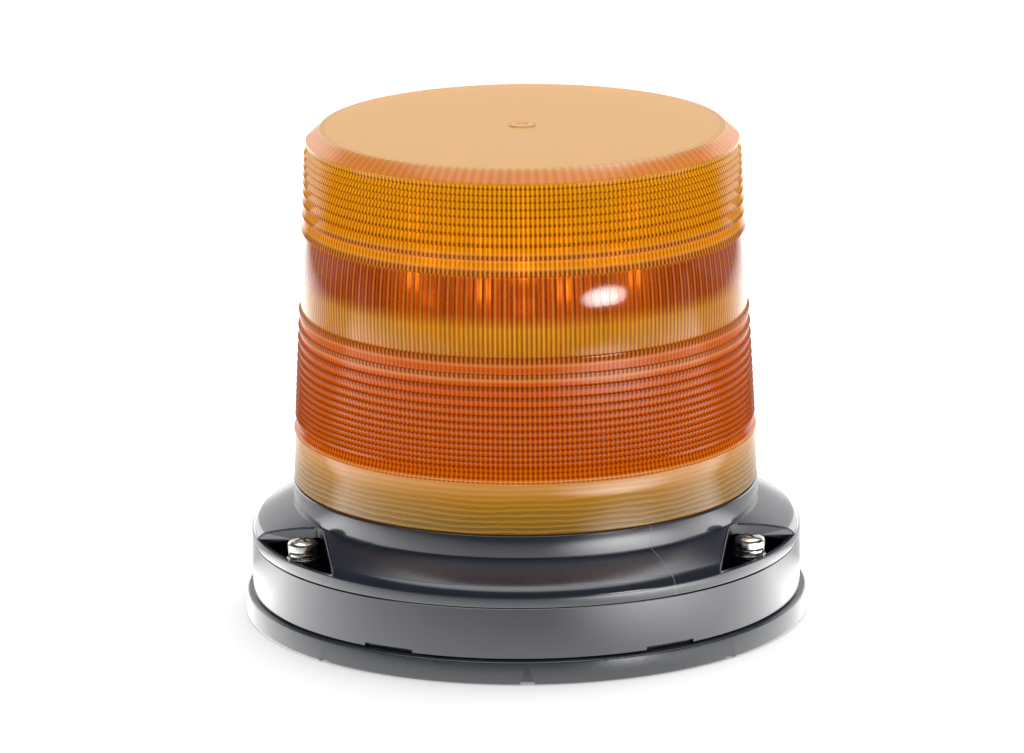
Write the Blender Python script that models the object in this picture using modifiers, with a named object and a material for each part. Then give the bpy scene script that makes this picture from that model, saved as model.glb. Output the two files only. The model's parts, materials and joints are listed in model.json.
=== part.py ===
"""Amber LED strobe beacon with a screw-on Fresnel lens, a three-screw base and a rubber mounting gasket.

Run in Blender 4.5: blender --background --python part.py
Metres, +Z up, origin at the centre of the gasket's underside, front towards -Y.
"""

import math

import bmesh
import bpy
from mathutils import Matrix, Vector

# Fits shared by every piece
seat_gap = 0.0003
overrun = 0.0010
merge_distance = 0.00001
arc_steps = 4

# Facets of the turned pieces
base_segments = 40
lens_segments = 36
small_segments = 10

# Mounting gasket
gasket_flare = 0.0022
gasket_draft = 0.00045
gasket_height = 0.0074
gasket_band = 0.0280
gasket_edge = 0.0006
drain_count = 8
drain_width = 0.0045
drain_height = 0.0012
drain_depth = 0.0050

# Mounting screws and their washers
screw_count = 3
screw_first_azimuth = math.radians(60)
screw_hole_radius = 0.0029
screw_shank_radius = 0.0025
screw_tip_height = 0.0006
screw_head_radius = 0.00475
screw_head_height = 0.0037
screw_recess_radius = 0.0013
screw_recess_depth = 0.0014
lock_washer_radius = 0.0046
lock_washer_height = 0.0014
lock_washer_split = 0.0009
flat_washer_radius = 0.0049
flat_washer_height = 0.0010
washer_bore_radius = 0.0027

# Base housing
base_radius = 0.0878
base_wall = 0.0030
base_height = 0.0163
base_edge = 0.0004
floor_height = 0.0030
inner_wall_margin = 0.0004
inner_wall = 0.0030
boss_radius = 0.0058
boss_inset = 0.0008
boss_neck_radius = 0.0043
boss_rise = 0.0027
slot_count = 6
slot_first_azimuth = math.radians(30.5)
slot_width = 0.0170
slot_height = 0.0014
slot_depth = 0.0020
floor_rib_count = 6
floor_rib_width = 0.0018
floor_rib_height = 0.0020
floor_rib_clearance = 0.0015

# Top cover
cover_wall = 0.0030
lip_height = 0.0037
lip_round = 0.0003
shoulder_rise = 0.0031
shoulder_bow = 0.00036
shoulder_steps = 3
neck_inset = 0.0029
neck_bow = 0.0002
neck_steps = 2
collar_inset = 0.0135
collar_height = 0.0072
collar_edge = 0.0004
neck_height = 0.0051
deck_height = 0.0032
thread_clearance = 0.0019
spigot_wall = 0.0028
pocket_half_width = 0.0231
pocket_apex_inset = 0.0003
pocket_lip = 0.0014
pocket_arc_steps = 4
cover_post_radius = 0.0040
cover_post_first_azimuth = 0.0

# Lens seal
seal_inset = 0.0007
seal_width = 0.0018
seal_height = 0.0011

# Lens
lens_inset = 0.0003
lens_taper = 0.0054
lens_crown_run = 0.0045
lens_crown_height = 0.0036
lens_wall = 0.0030
skirt_height = 0.0168
skirt_wall = 0.0029
skirt_lip = 0.0006
lower_optic_height = 0.0515
upper_optic_height = 0.0454
plain_margin = 0.0018
ring_pitch = 0.01253
ring_depth = 0.0008
ring_riser = 0.0002
band_steps = 4
flute_count = 148
flute_depth = 0.0005
pip_radius = 0.0044
pip_height = 0.0004
pip_dimple_radius = 0.0018
pip_dimple_depth = 0.0003

# Cable inlet
inlet_bore_radius = 0.0095
grommet_flange_radius = 0.0125
grommet_flange_height = 0.0020
grommet_bore_radius = 0.0036
grommet_edge = 0.0006

# Driver board and its components
board_post_height = 0.0075
board_post_radius = 0.0040
board_post_inset = 0.0080
board_post_first_azimuth = 0.0
board_clearance = 0.0050
board_thickness = 0.0016
board_screw_radius = 0.0015
board_screw_length = 0.0060
board_screw_head_radius = 0.0028
board_screw_head_height = 0.0018
screw_clearance = 0.0003
capacitor_radius = 0.0063
capacitor_headroom = 0.0016
capacitor_groove_height = 0.0022
capacitor_groove_depth = 0.0005
capacitor_x_share = -0.50
capacitor_y_share = -0.36
inductor_mean_radius = 0.0070
inductor_band_radius = 0.0032
inductor_x_share = 0.52
inductor_y_share = -0.28
chip_length = 0.0080
chip_height = 0.0017
chip_y_share = -0.48
terminal_length = 0.0110
terminal_depth = 0.0080
terminal_height = 0.0095
terminal_y_share = 0.23
terminal_screw_pitch = 0.0050

# Heat sink tower
plate_thickness = 0.0025
plate_overlap = 0.0022
plate_post_inset = 0.0070
plate_post_radius = 0.0040
plate_post_first_azimuth = math.radians(60)
tower_sides = 6
tower_flat_radius = 0.0220
tower_wall = 0.0030
tower_above_optic = 0.0180

# LED boards
led_board_width = 0.0200
led_board_height = 0.0340
led_board_thickness = 0.0016
leds_per_board = 2
led_pitch = 0.0100
led_width = 0.0040
led_body_height = 0.0012
led_dome_radius = 0.0016

# Tower top
link_board_clearance = 0.0069
cap_overhang = 0.0001
cap_wall = 0.0016
cap_edge = 0.0006
lead_radius = 0.0009
lead_hole_radius = 0.0013
lead_hole_spread = 0.0090
lead_points = 12

# Radii and circles that follow from the sizes above
gasket_radius = base_radius + gasket_flare
gasket_inner_radius = gasket_radius - gasket_band
screw_circle = base_radius - boss_radius - boss_inset
collar_radius = base_radius - collar_inset
lens_rim_radius = collar_radius - lens_inset
lens_shoulder_radius = lens_rim_radius - lens_taper
lens_crown_radius = lens_shoulder_radius - lens_crown_run
skirt_bore_radius = lens_rim_radius - skirt_wall
seal_mean_radius = skirt_bore_radius + seal_inset
spigot_radius = skirt_bore_radius - thread_clearance
spigot_bore_radius = spigot_radius - spigot_wall
pocket_apex_radius = collar_radius - pocket_apex_inset
plate_radius = spigot_bore_radius + plate_overlap
inner_wall_radius = plate_radius + inner_wall_margin
inner_wall_bore_radius = inner_wall_radius - inner_wall
cover_post_circle = (inner_wall_radius + base_radius - base_wall) / 2
plate_post_circle = inner_wall_bore_radius - plate_post_inset
board_radius = plate_post_circle - plate_post_radius - board_clearance
board_post_circle = board_radius - board_post_inset
tower_corner_radius = tower_flat_radius / math.cos(math.pi / tower_sides)
cap_radius = tower_corner_radius + cap_overhang
link_board_radius = cap_radius - cap_wall - link_board_clearance
terminal_y = board_radius * terminal_y_share

# Heights that follow from the sizes above
optic_rise = skirt_height + lower_optic_height
lens_height = optic_rise + upper_optic_height
spigot_height = skirt_height - seat_gap
base_bottom = gasket_height + seat_gap
floor_top = base_bottom + floor_height
base_top = base_bottom + base_height
cover_bottom = base_top + seat_gap
lip_top = cover_bottom + lip_height
neck_bottom = lip_top + shoulder_rise
neck_top = neck_bottom + neck_height
collar_top = neck_top + collar_height
deck_bottom = collar_top - deck_height
plate_top = deck_bottom - seat_gap
plate_bottom = plate_top - plate_thickness
inner_wall_top = plate_bottom - seat_gap
lens_bottom = collar_top + seat_gap
optic_height = lens_bottom + optic_rise
board_bottom = floor_top + board_post_height + seat_gap
board_top = board_bottom + board_thickness
tower_top = optic_height + tower_above_optic
boss_top = base_top + boss_rise
cover_screw_bore_radius = board_screw_head_radius + screw_clearance
cover_screw_seat = base_bottom + board_screw_head_height + screw_clearance
pilot_radius = board_screw_radius + screw_clearance

collection_name = "led_strobe_beacon"
cutter_collection_name = "cutters"


def clear_scene():
    for item in list(bpy.data.objects):
        bpy.data.objects.remove(item, do_unlink=True)


def make_collection(name):
    made = bpy.data.collections.new(name)
    bpy.context.scene.collection.children.link(made)
    return made


def make_material(name, color, roughness, metallic=0.0, alpha=1.0):
    material = bpy.data.materials.new(name)
    material.use_nodes = True
    shader = material.node_tree.nodes["Principled BSDF"]
    shader.inputs["Base Color"].default_value = (*color, 1.0)
    shader.inputs["Roughness"].default_value = roughness
    shader.inputs["Metallic"].default_value = metallic
    shader.inputs["Alpha"].default_value = alpha
    return material


def place(obj, azimuth=0.0, radius=0.0, height=0.0):
    """Azimuth is measured from the front (-Y) towards +X; the object's own -Y faces outwards."""
    obj.matrix_world = Matrix.Rotation(azimuth, 4, "Z") @ Matrix.Translation((0, -radius, height))
    return obj


def add_object(name, mesh, material=None, cutter=False):
    obj = bpy.data.objects.new(name, mesh)
    if material:
        mesh.materials.append(material)
    if cutter:
        obj.hide_render = True
        obj.display_type = "WIRE"
        cutters.objects.link(obj)
    else:
        parts.objects.link(obj)
    return obj


def mesh_from(name, build):
    mesh = bpy.data.meshes.new(name)
    form = bmesh.new()
    build(form)
    form.to_mesh(mesh)
    form.free()
    return mesh


def turned(name, outline, material=None, cutter=False, closed=True, segments=small_segments):
    """A Screw of an outline of (radius, height) points that runs down the outer side."""
    mesh = bpy.data.meshes.new(name)
    points = [(radius, 0.0, height) for radius, height in outline]
    edges = [(i, i + 1) for i in range(len(points) - 1)]
    if closed:
        edges.append((len(points) - 1, 0))
    mesh.from_pydata(points, edges, [])
    obj = add_object(name, mesh, material, cutter)
    screw = obj.modifiers.new("turn", "SCREW")
    screw.axis = "Z"
    screw.angle = math.tau
    screw.steps = segments
    screw.render_steps = segments
    screw.use_merge_vertices = True
    screw.merge_threshold = merge_distance
    screw.use_smooth_shade = True
    return obj


def disc(name, radius, low, high, material=None, cutter=False, segments=small_segments):
    return turned(name, [(0, high), (radius, high), (radius, low), (0, low)], material, cutter, False, segments)


def ring(name, inner, outer, low, high, material=None, cutter=False, segments=small_segments):
    return turned(name, [(inner, high), (outer, high), (outer, low), (inner, low)], material, cutter, True, segments)


def block(name, size, material=None, cutter=False, edge=0.0):
    """A box that stands on its origin, with its vertical centre line on Z."""
    def build(form):
        bmesh.ops.create_cube(form, size=1.0)
        bmesh.ops.scale(form, verts=form.verts, vec=Vector(size))
        bmesh.ops.translate(form, verts=form.verts, vec=Vector((0, 0, size[2] / 2)))
    obj = add_object(name, mesh_from(name, build), material, cutter)
    if edge:
        round_edges(obj, edge)
    return obj


def prism(name, outline, low, high, material=None, cutter=False):
    """A flat outline of (x, y) points, extruded from low to high."""
    def build(form):
        face = form.faces.new([form.verts.new((x, y, low)) for x, y in outline])
        grown = bmesh.ops.extrude_face_region(form, geom=[face])
        raised = [item for item in grown["geom"] if isinstance(item, bmesh.types.BMVert)]
        bmesh.ops.translate(form, verts=raised, vec=Vector((0, 0, high - low)))
        bmesh.ops.recalc_face_normals(form, faces=form.faces)
    return add_object(name, mesh_from(name, build), material, cutter)


def round_edges(obj, width, steps=1):
    bevel = obj.modifiers.new("edges", "BEVEL")
    bevel.width = width
    bevel.segments = steps
    bevel.limit_method = "ANGLE"


def combine(target, others, operation):
    group = bpy.data.collections.new(f"{target.name}_{operation.lower()}")
    cutters.children.link(group)
    for other in others:
        group.objects.link(other)
    change = target.modifiers.new(operation.lower(), "BOOLEAN")
    change.operation = operation
    change.solver = "EXACT"
    change.operand_type = "COLLECTION"
    change.collection = group


def cut(target, *others):
    combine(target, others, "DIFFERENCE")


def fuse(target, *others):
    combine(target, others, "UNION")


def copy_of(master, azimuth, radius=0.0, height=0.0, name=None):
    """A copy that shares the master's mesh and modifiers."""
    made = master.copy()
    made.name = name or f"{master.name}_copy"
    for home in master.users_collection:
        home.objects.link(made)
    return place(made, azimuth, radius, height)


def remove_masters(*masters):
    for master in masters:
        bpy.data.objects.remove(master, do_unlink=True)


def around(master, angles, radius=0.0, height=0.0):
    """Copies of the master at each azimuth, in the master's place."""
    made = [copy_of(master, azimuth, radius, height) for azimuth in angles]
    bpy.data.objects.remove(master, do_unlink=True)
    return made


def beside(master, spread, y=0.0, height=0.0):
    """Two copies of the master, to the left and right of the middle plane, in the master's place."""
    made = []
    for side in (-1, 1):
        twin = copy_of(master, 0.0)
        twin.location = (side * spread, y, height)
        made.append(twin)
    bpy.data.objects.remove(master, do_unlink=True)
    return made


def bowed(start, end, sag, steps=arc_steps):
    """Points from start to end along a shallow curve that stands off the straight line by sag at its middle."""
    start, end = Vector(start), Vector(end)
    along = end - start
    off = Vector((-along.y, along.x)).normalized() * sag
    points = []
    for step in range(steps + 1):
        share = step / steps
        points.append(tuple(start + along * share + off * (4 * share * (1 - share))))
    return points


def azimuths(count, first):
    return [first + math.tau * i / count for i in range(count)]


def build_gasket():
    top_radius = gasket_radius - gasket_draft
    gasket = turned("mounting_gasket", [
        (top_radius - gasket_edge, gasket_height),
        (top_radius, gasket_height - gasket_edge),
        (gasket_radius, 0),
        (gasket_inner_radius, 0),
        (gasket_inner_radius, gasket_height),
    ], rubber, segments=base_segments)
    hole = disc("gasket_hole", screw_hole_radius, -overrun, gasket_height + overrun, cutter=True)
    drain = block("drain", (drain_width, drain_depth + overrun, drain_height + overrun), cutter=True)
    drain_centre = gasket_radius - drain_depth / 2 + overrun / 2
    cut(gasket,
        *around(hole, screw_azimuths, screw_circle),
        *around(drain, azimuths(drain_count, 0.0), drain_centre, -overrun))


def build_base():
    inner = base_radius - base_wall
    base = turned("base_housing", [
        (base_radius, base_top),
        (base_radius, base_bottom + base_edge),
        (base_radius - base_edge, base_bottom),
        (inlet_bore_radius, base_bottom),
        (inlet_bore_radius, floor_top),
        (inner_wall_bore_radius, floor_top),
        (inner_wall_bore_radius, inner_wall_top),
        (inner_wall_radius, inner_wall_top),
        (inner_wall_radius, floor_top),
        (inner, floor_top),
        (inner, base_top),
    ], black_plastic, segments=base_segments)

    boss = turned("screw_boss", [
        (0, boss_top),
        (boss_neck_radius, boss_top),
        (boss_neck_radius, base_top),
        (boss_radius, base_top - (boss_radius - boss_neck_radius)),
        (boss_radius, floor_top - overrun),
        (0, floor_top - overrun),
    ], cutter=True, closed=False)
    board_post = disc("board_post", board_post_radius, floor_top - overrun, floor_top + board_post_height, cutter=True)
    plate_post = disc("plate_post", plate_post_radius, floor_top - overrun, inner_wall_top, cutter=True)
    rib_start = grommet_flange_radius + floor_rib_clearance
    rib_end = gasket_inner_radius - floor_rib_clearance
    rib = block("floor_rib", (floor_rib_width, rib_end - rib_start, floor_rib_height + overrun), cutter=True)
    fuse(base,
         *around(rib, azimuths(floor_rib_count, 0.0), (rib_start + rib_end) / 2, base_bottom - floor_rib_height),
         *around(boss, screw_azimuths, screw_circle),
         *around(board_post, board_post_azimuths, board_post_circle),
         *around(plate_post, plate_post_azimuths, plate_post_circle))

    screw_hole = disc("base_screw_hole", screw_hole_radius, base_bottom - overrun, boss_top + overrun, cutter=True)
    pilot_depth = board_screw_length + overrun
    board_pilot = disc("board_pilot", pilot_radius, board_bottom - pilot_depth, board_bottom + overrun, cutter=True)
    plate_pilot = disc("plate_pilot", pilot_radius, plate_bottom - pilot_depth, plate_bottom + overrun, cutter=True)
    cover_bore = turned("cover_screw_bore", [
        (0, floor_top + overrun),
        (pilot_radius, floor_top + overrun),
        (pilot_radius, cover_screw_seat),
        (cover_screw_bore_radius, cover_screw_seat),
        (cover_screw_bore_radius, base_bottom - overrun),
        (0, base_bottom - overrun),
    ], cutter=True, closed=False)
    slot = block("slot", (slot_width, slot_depth + overrun, slot_height + overrun), cutter=True)
    slot_centre = base_radius - slot_depth / 2 + overrun / 2
    cut(base,
        *around(screw_hole, screw_azimuths, screw_circle),
        *around(board_pilot, board_post_azimuths, board_post_circle),
        *around(plate_pilot, plate_post_azimuths, plate_post_circle),
        *around(cover_bore, cover_post_azimuths, cover_post_circle),
        *around(slot, azimuths(slot_count, slot_first_azimuth), slot_centre, base_bottom - overrun))


def build_cover():
    inner = base_radius - cover_wall
    groove_inner = seal_mean_radius - seal_width / 2 - seat_gap
    groove_outer = seal_mean_radius + seal_width / 2 + seat_gap
    groove_floor = lens_bottom - seat_gap - seal_height - seat_gap
    spigot_top = collar_top + spigot_height
    collar_bore = collar_radius - cover_wall
    neck_start = (collar_radius + collar_edge, neck_top)
    neck_end = (base_radius - neck_inset, neck_bottom)
    lip_start = (base_radius - lip_round, lip_top)
    outline = [
        (spigot_bore_radius, spigot_top),
        (spigot_radius, spigot_top),
        (spigot_radius, collar_top),
        (groove_inner, collar_top),
        (groove_inner, groove_floor),
        (groove_outer, groove_floor),
        (groove_outer, collar_top),
        (collar_radius - collar_edge, collar_top),
        (collar_radius, collar_top - collar_edge),
        (collar_radius, neck_top + collar_edge),
    ]
    outline += bowed(neck_start, neck_end, neck_bow, neck_steps)
    outline += bowed(neck_end, lip_start, shoulder_bow, shoulder_steps)[1:]
    outline += [
        (base_radius, lip_top - lip_round),
        (base_radius, cover_bottom),
        (inner, cover_bottom),
        (inner, lip_top - lip_round),
    ]
    outline += [
        (neck_end[0] - cover_wall / 2, neck_end[1] - cover_wall),
        (collar_bore, neck_top - cover_wall / 2),
        (collar_bore, deck_bottom),
        (spigot_bore_radius, deck_bottom),
    ]
    cover = turned("top_cover", outline, black_plastic, segments=base_segments)

    post_top = neck_bottom + cover_wall / 2
    post = disc("cover_post", cover_post_radius, floor_top + seat_gap, post_top, cutter=True)
    pilot = disc("cover_pilot", pilot_radius, floor_top - overrun, floor_top + board_screw_length, cutter=True)
    pocket_top = neck_top + collar_edge / 2
    pocket = prism("pocket", pocket_outline(), cover_bottom - overrun, pocket_top, cutter=True)
    mouth = prism("pocket_mouth", mouth_outline(), lip_top, pocket_top, cutter=True)
    fuse(cover, *around(post, cover_post_azimuths, cover_post_circle))
    cut(cover,
        *around(pilot, cover_post_azimuths, cover_post_circle),
        *around(pocket, screw_azimuths),
        *around(mouth, screw_azimuths))


def pocket_reach(distance):
    """Half the width of the V-shaped pocket at a distance from the part's axis, measured along the pocket's middle."""
    lip_radius = base_radius - pocket_lip
    corner_y = math.sqrt(lip_radius * lip_radius - pocket_half_width * pocket_half_width)
    return pocket_half_width * (distance - pocket_apex_radius) / (corner_y - pocket_apex_radius)


def pocket_outline():
    """A V with its apex under the collar, cut off at the collar and closed by the lip's arc; it opens to -Y."""
    lip_radius = base_radius - pocket_lip
    half_angle = math.asin(pocket_half_width / lip_radius)
    inner_y = collar_radius + collar_edge
    outline = [(pocket_reach(inner_y), -inner_y), (-pocket_reach(inner_y), -inner_y)]
    for step in range(pocket_arc_steps + 1):
        angle = half_angle * (2 * step / pocket_arc_steps - 1)
        outline.append((lip_radius * math.sin(angle), -lip_radius * math.cos(angle)))
    return outline


def mouth_outline():
    """The same V above the lip, where it runs out past the cover's side."""
    inner_y = collar_radius + collar_edge
    outer_y = base_radius + overrun
    return [
        (pocket_reach(inner_y), -inner_y),
        (-pocket_reach(inner_y), -inner_y),
        (-pocket_reach(outer_y), -outer_y),
        (pocket_reach(outer_y), -outer_y),
    ]


def build_seal():
    inner = seal_mean_radius - seal_width / 2
    outer = seal_mean_radius + seal_width / 2
    low = lens_bottom - seat_gap - seal_height
    seal = ring("lens_seal", inner, outer, 0, seal_height, rubber, segments=base_segments)
    return place(seal, height=low)


def lens_line(height):
    """The lens's outer radius without its rings, at a height over its rim."""
    shoulder = lens_height - lens_crown_height
    return lens_rim_radius + (lens_shoulder_radius - lens_rim_radius) * height / shoulder


def ring_distance(count):
    """Fresnel rings of equal depth lie at distances from the optic's centre that grow with the square root."""
    return ring_pitch * math.sqrt(count)


def rings_within(height):
    return int(((height - plain_margin) / ring_pitch) ** 2)


def ring_points(direction, count):
    """The (radius, height) points of the rings on one side of the optic, from the centre outwards."""
    points = []
    for number in range(1, count):
        ridge = optic_rise + direction * (ring_distance(number) + ring_riser)
        root = optic_rise + direction * ring_distance(number + 1)
        points.append((lens_line(ridge) + ring_depth / 2, ridge))
        points.append((lens_line(root) - ring_depth / 2, root))
    return points


def build_lens():
    shoulder = lens_height - lens_crown_height
    pip_top = lens_height + pip_height
    outline = [
        (0, pip_top - pip_dimple_depth),
        (pip_dimple_radius, pip_top - pip_dimple_depth),
        (pip_dimple_radius + pip_dimple_depth, pip_top),
        (pip_radius, pip_top),
        (pip_radius + pip_height, lens_height),
        (lens_crown_radius, lens_height),
        (lens_shoulder_radius, shoulder),
    ]
    outline += reversed(ring_points(1, rings_within(shoulder - optic_rise)))
    for step in range(band_steps + 1):
        share = 1 - 2 * step / band_steps
        height = optic_rise + ring_pitch * share
        outline.append((lens_line(height) + ring_depth * (0.5 - share * share), height))
    outline += ring_points(-1, rings_within(lower_optic_height))
    outline += [
        (lens_line(skirt_height) + skirt_lip, skirt_height),
        (lens_line(skirt_height) + skirt_lip, skirt_height - skirt_lip),
        (lens_line(skirt_height - skirt_lip * 2), skirt_height - skirt_lip * 2),
        (lens_rim_radius, 0),
        (0, 0),
    ]
    lens = turned("lens", outline, amber, closed=False, segments=lens_segments)

    bore_low = skirt_height + ring_riser
    bore_high = shoulder - lens_wall / 2
    skirt_bore = disc("skirt_bore", skirt_bore_radius, -overrun, bore_low, cutter=True, segments=base_segments)
    low_radius = lens_line(bore_low) - lens_wall
    high_radius = lens_line(bore_high) - lens_wall
    flutes = fluted_core("flutes", bore_low - overrun, bore_high, low_radius, high_radius)
    crown = turned("crown_bore", [
        (0, lens_height - lens_wall),
        (lens_crown_radius - lens_wall / 2, lens_height - lens_wall),
        (high_radius - ring_riser, bore_high),
        (high_radius - ring_riser, bore_high - overrun),
        (0, bore_high - overrun),
    ], cutter=True, closed=False, segments=lens_segments)
    for core in (skirt_bore, flutes, crown):
        core.parent = lens
        cut(lens, core)
    return place(lens, height=lens_bottom)


def fluted_core(name, low, high, low_radius, high_radius):
    """A tapered core whose side has two faces for each flute, standing out by the flute's depth."""
    def build(form):
        bmesh.ops.create_cone(
            form, cap_ends=True, segments=2 * flute_count,
            radius1=low_radius, radius2=high_radius, depth=high - low)
        for vert in form.verts:
            turn = math.atan2(vert.co.y, vert.co.x) / math.tau * 2 * flute_count
            if round(turn) % 2:
                reach = vert.co.xy.length
                vert.co.xy *= (reach + flute_depth) / reach
        bmesh.ops.translate(form, verts=form.verts, vec=Vector((0, 0, (low + high) / 2)))
    return add_object(name, mesh_from(name, build), cutter=True)


def pan_screw(name, head_radius, head_height, shank_radius, shank_length, recess_radius=0.0, recess_depth=0.0):
    """The underside of the head lies at the origin, and the shank runs down from it."""
    crown_edge = head_height / 3
    outline = [(0, head_height - recess_depth)]
    crown_steps = 1
    if recess_radius:
        outline += [(recess_radius / 2, head_height - recess_depth), (recess_radius, head_height)]
        crown_steps = 2
    outline += bowed(
        (head_radius - crown_edge, head_height), (head_radius, head_height - crown_edge), crown_edge / 5, crown_steps)
    outline += [
        (head_radius, 0),
        (shank_radius, 0),
        (shank_radius, -shank_length),
        (0, -shank_length),
    ]
    return turned(name, outline, steel, closed=False)


def build_fasteners():
    washer_bottom = boss_top + seat_gap
    lock_bottom = washer_bottom + flat_washer_height + seat_gap
    head_bottom = lock_bottom + lock_washer_height + seat_gap
    flat_master = ring("flat_washer", washer_bore_radius, flat_washer_radius, 0, flat_washer_height, steel)
    lock_master = ring("lock_washer", washer_bore_radius, lock_washer_radius, 0, lock_washer_height, steel)
    split = block("split", (lock_washer_split, lock_washer_radius + overrun, lock_washer_height + 2 * overrun), cutter=True)
    split.parent = lock_master
    split.matrix_world = Matrix.Translation((0, -lock_washer_radius / 2 - overrun / 2, -overrun))
    screw_master = pan_screw(
        "mounting_screw", screw_head_radius, screw_head_height, screw_shank_radius,
        head_bottom - screw_tip_height, screw_recess_radius, screw_recess_depth)
    sides = ("right", "rear", "left")
    for side, azimuth in zip(sides, screw_azimuths):
        copy_of(flat_master, azimuth, screw_circle, washer_bottom, f"flat_washer_{side}")
        lock = copy_of(lock_master, azimuth, screw_circle, lock_bottom, f"lock_washer_{side}")
        notch = copy_of(split, azimuth, screw_circle + lock_washer_radius / 2 + overrun / 2, lock_bottom - overrun)
        cut(lock, notch)
        copy_of(screw_master, azimuth, screw_circle, head_bottom, f"mounting_screw_{side}")
    remove_masters(split, flat_master, lock_master, screw_master)


def small_screws(names, circle, angles, height, turn_over=False):
    master = pan_screw(
        "small_screw", board_screw_head_radius, board_screw_head_height, board_screw_radius, board_screw_length)
    for name, azimuth in zip(names, angles):
        screw = copy_of(master, azimuth, circle, height, name)
        if turn_over:
            screw.matrix_world = screw.matrix_world @ Matrix.Rotation(math.pi, 4, "X")
    remove_masters(master)


def build_grommet():
    low = base_bottom - seat_gap - grommet_flange_height
    high = floor_top + seat_gap + grommet_flange_height
    neck = inlet_bore_radius - seat_gap
    return turned("cable_grommet", [
        (grommet_bore_radius, high),
        (grommet_flange_radius - grommet_edge, high),
        (grommet_flange_radius, high - grommet_edge),
        (grommet_flange_radius, floor_top + seat_gap),
        (neck, floor_top + seat_gap),
        (neck, base_bottom - seat_gap),
        (grommet_flange_radius, base_bottom - seat_gap),
        (grommet_flange_radius, low + grommet_edge),
        (grommet_flange_radius - grommet_edge, low),
        (grommet_bore_radius, low),
    ], rubber, segments=small_segments + small_segments // 2)


def build_driver_board():
    board = disc("driver_board", board_radius, 0, board_thickness, board_green, segments=base_segments)
    hole = disc("board_hole", pilot_radius, -overrun, board_thickness + overrun, cutter=True)
    place(board, height=board_bottom)
    cut(board, *around(hole, board_post_azimuths, board_post_circle, board_bottom))
    small_screws(
        ("board_screw_front", "board_screw_right", "board_screw_left"),
        board_post_circle, board_post_azimuths, board_top + seat_gap)

    seat = board_top + seat_gap
    groove_radius = capacitor_radius - capacitor_groove_depth
    capacitor_height = plate_bottom - capacitor_headroom - seat
    capacitor = turned("bulk_capacitor", [
        (0, capacitor_height),
        (groove_radius, capacitor_height),
        (capacitor_radius, capacitor_height - capacitor_groove_depth),
        (capacitor_radius, capacitor_groove_height),
        (groove_radius, capacitor_groove_height - capacitor_groove_depth),
        (capacitor_radius, capacitor_groove_height - 2 * capacitor_groove_depth),
        (capacitor_radius, 0),
        (0, 0),
    ], can_blue, closed=False)
    capacitor.location = (board_radius * capacitor_x_share, board_radius * capacitor_y_share, seat)

    band = []
    for step in range(small_segments // 2):
        angle = -math.tau * step / (small_segments // 2) + math.pi / 2
        band.append((
            inductor_mean_radius + inductor_band_radius * math.cos(angle),
            inductor_band_radius * (1 + math.sin(angle))))
    inductor = turned("filter_inductor", band, copper, segments=small_segments + small_segments // 2)
    inductor.location = (board_radius * inductor_x_share, board_radius * inductor_y_share, seat)

    chip = block("flash_controller", (chip_length, chip_length, chip_height), chip_black, edge=chip_height / 8)
    chip.location = (0, board_radius * chip_y_share, seat)

    terminal = block("terminal_block", (terminal_length, terminal_depth, terminal_height), terminal_green)
    terminal.location = (0, terminal_y, seat)
    entry = disc("terminal_entry", lead_hole_radius, terminal_height / 2, terminal_height + overrun, cutter=True)
    cut(terminal, *beside(entry, terminal_screw_pitch / 2, terminal_y, seat))


def hexagon(name, flat_radius, low, high, material=None, cutter=False):
    """A column whose first flat faces the front."""
    def build(form):
        corner_radius = flat_radius / math.cos(math.pi / tower_sides)
        bmesh.ops.create_cone(
            form, cap_ends=True, segments=tower_sides,
            radius1=corner_radius, radius2=corner_radius, depth=high - low)
        if tower_sides % 2 == 0:
            flat_turn = Matrix.Rotation(math.pi / tower_sides, 3, "Z")
            bmesh.ops.rotate(form, verts=form.verts, cent=Vector(), matrix=flat_turn)
        bmesh.ops.translate(form, verts=form.verts, vec=Vector((0, 0, (low + high) / 2)))
    return add_object(name, mesh_from(name, build), material, cutter)


def build_tower():
    plate_bore = (tower_flat_radius - tower_wall) / 2
    tower = ring("heat_sink", plate_bore, plate_radius, plate_bottom, plate_top, aluminium, segments=base_segments)
    column = hexagon("column", tower_flat_radius, plate_bottom + overrun, tower_top, cutter=True)
    fuse(tower, column)
    hollow = hexagon("hollow", tower_flat_radius - tower_wall, plate_bottom - overrun, tower_top - tower_wall, cutter=True)
    hole = disc("plate_hole", pilot_radius, plate_bottom - overrun, plate_top + overrun, cutter=True)
    web_low, web_high = tower_top - tower_wall - overrun, tower_top + overrun
    cap_pilot = disc("cap_pilot", pilot_radius, web_low, web_high, cutter=True)
    lead_hole = disc("lead_hole", lead_hole_radius, web_low, web_high, cutter=True)
    cut(tower,
        hollow,
        *around(hole, plate_post_azimuths, plate_post_circle),
        *beside(lead_hole, lead_hole_spread),
        cap_pilot)
    small_screws(
        ("heat_sink_screw_right", "heat_sink_screw_rear", "heat_sink_screw_left"),
        plate_post_circle, plate_post_azimuths, plate_top + seat_gap)

    board_back = tower_flat_radius + seat_gap
    led_back = board_back + led_board_thickness + seat_gap
    for number, azimuth in enumerate(azimuths(tower_sides, 0.0), 1):
        board = block(f"led_board_{number}", (led_board_width, led_board_thickness, led_board_height), board_white)
        place(board, azimuth, board_back + led_board_thickness / 2, optic_height - led_board_height / 2)
        for index in range(leds_per_board):
            height = optic_height + led_pitch * (index - (leds_per_board - 1) / 2)
            led = build_led(f"led_{number}_{index + 1}")
            spin = Matrix.Rotation(azimuth, 4, "Z")
            led.matrix_world = spin @ Matrix.Translation((0, -led_back, height)) @ Matrix.Rotation(math.pi / 2, 4, "X")


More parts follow.
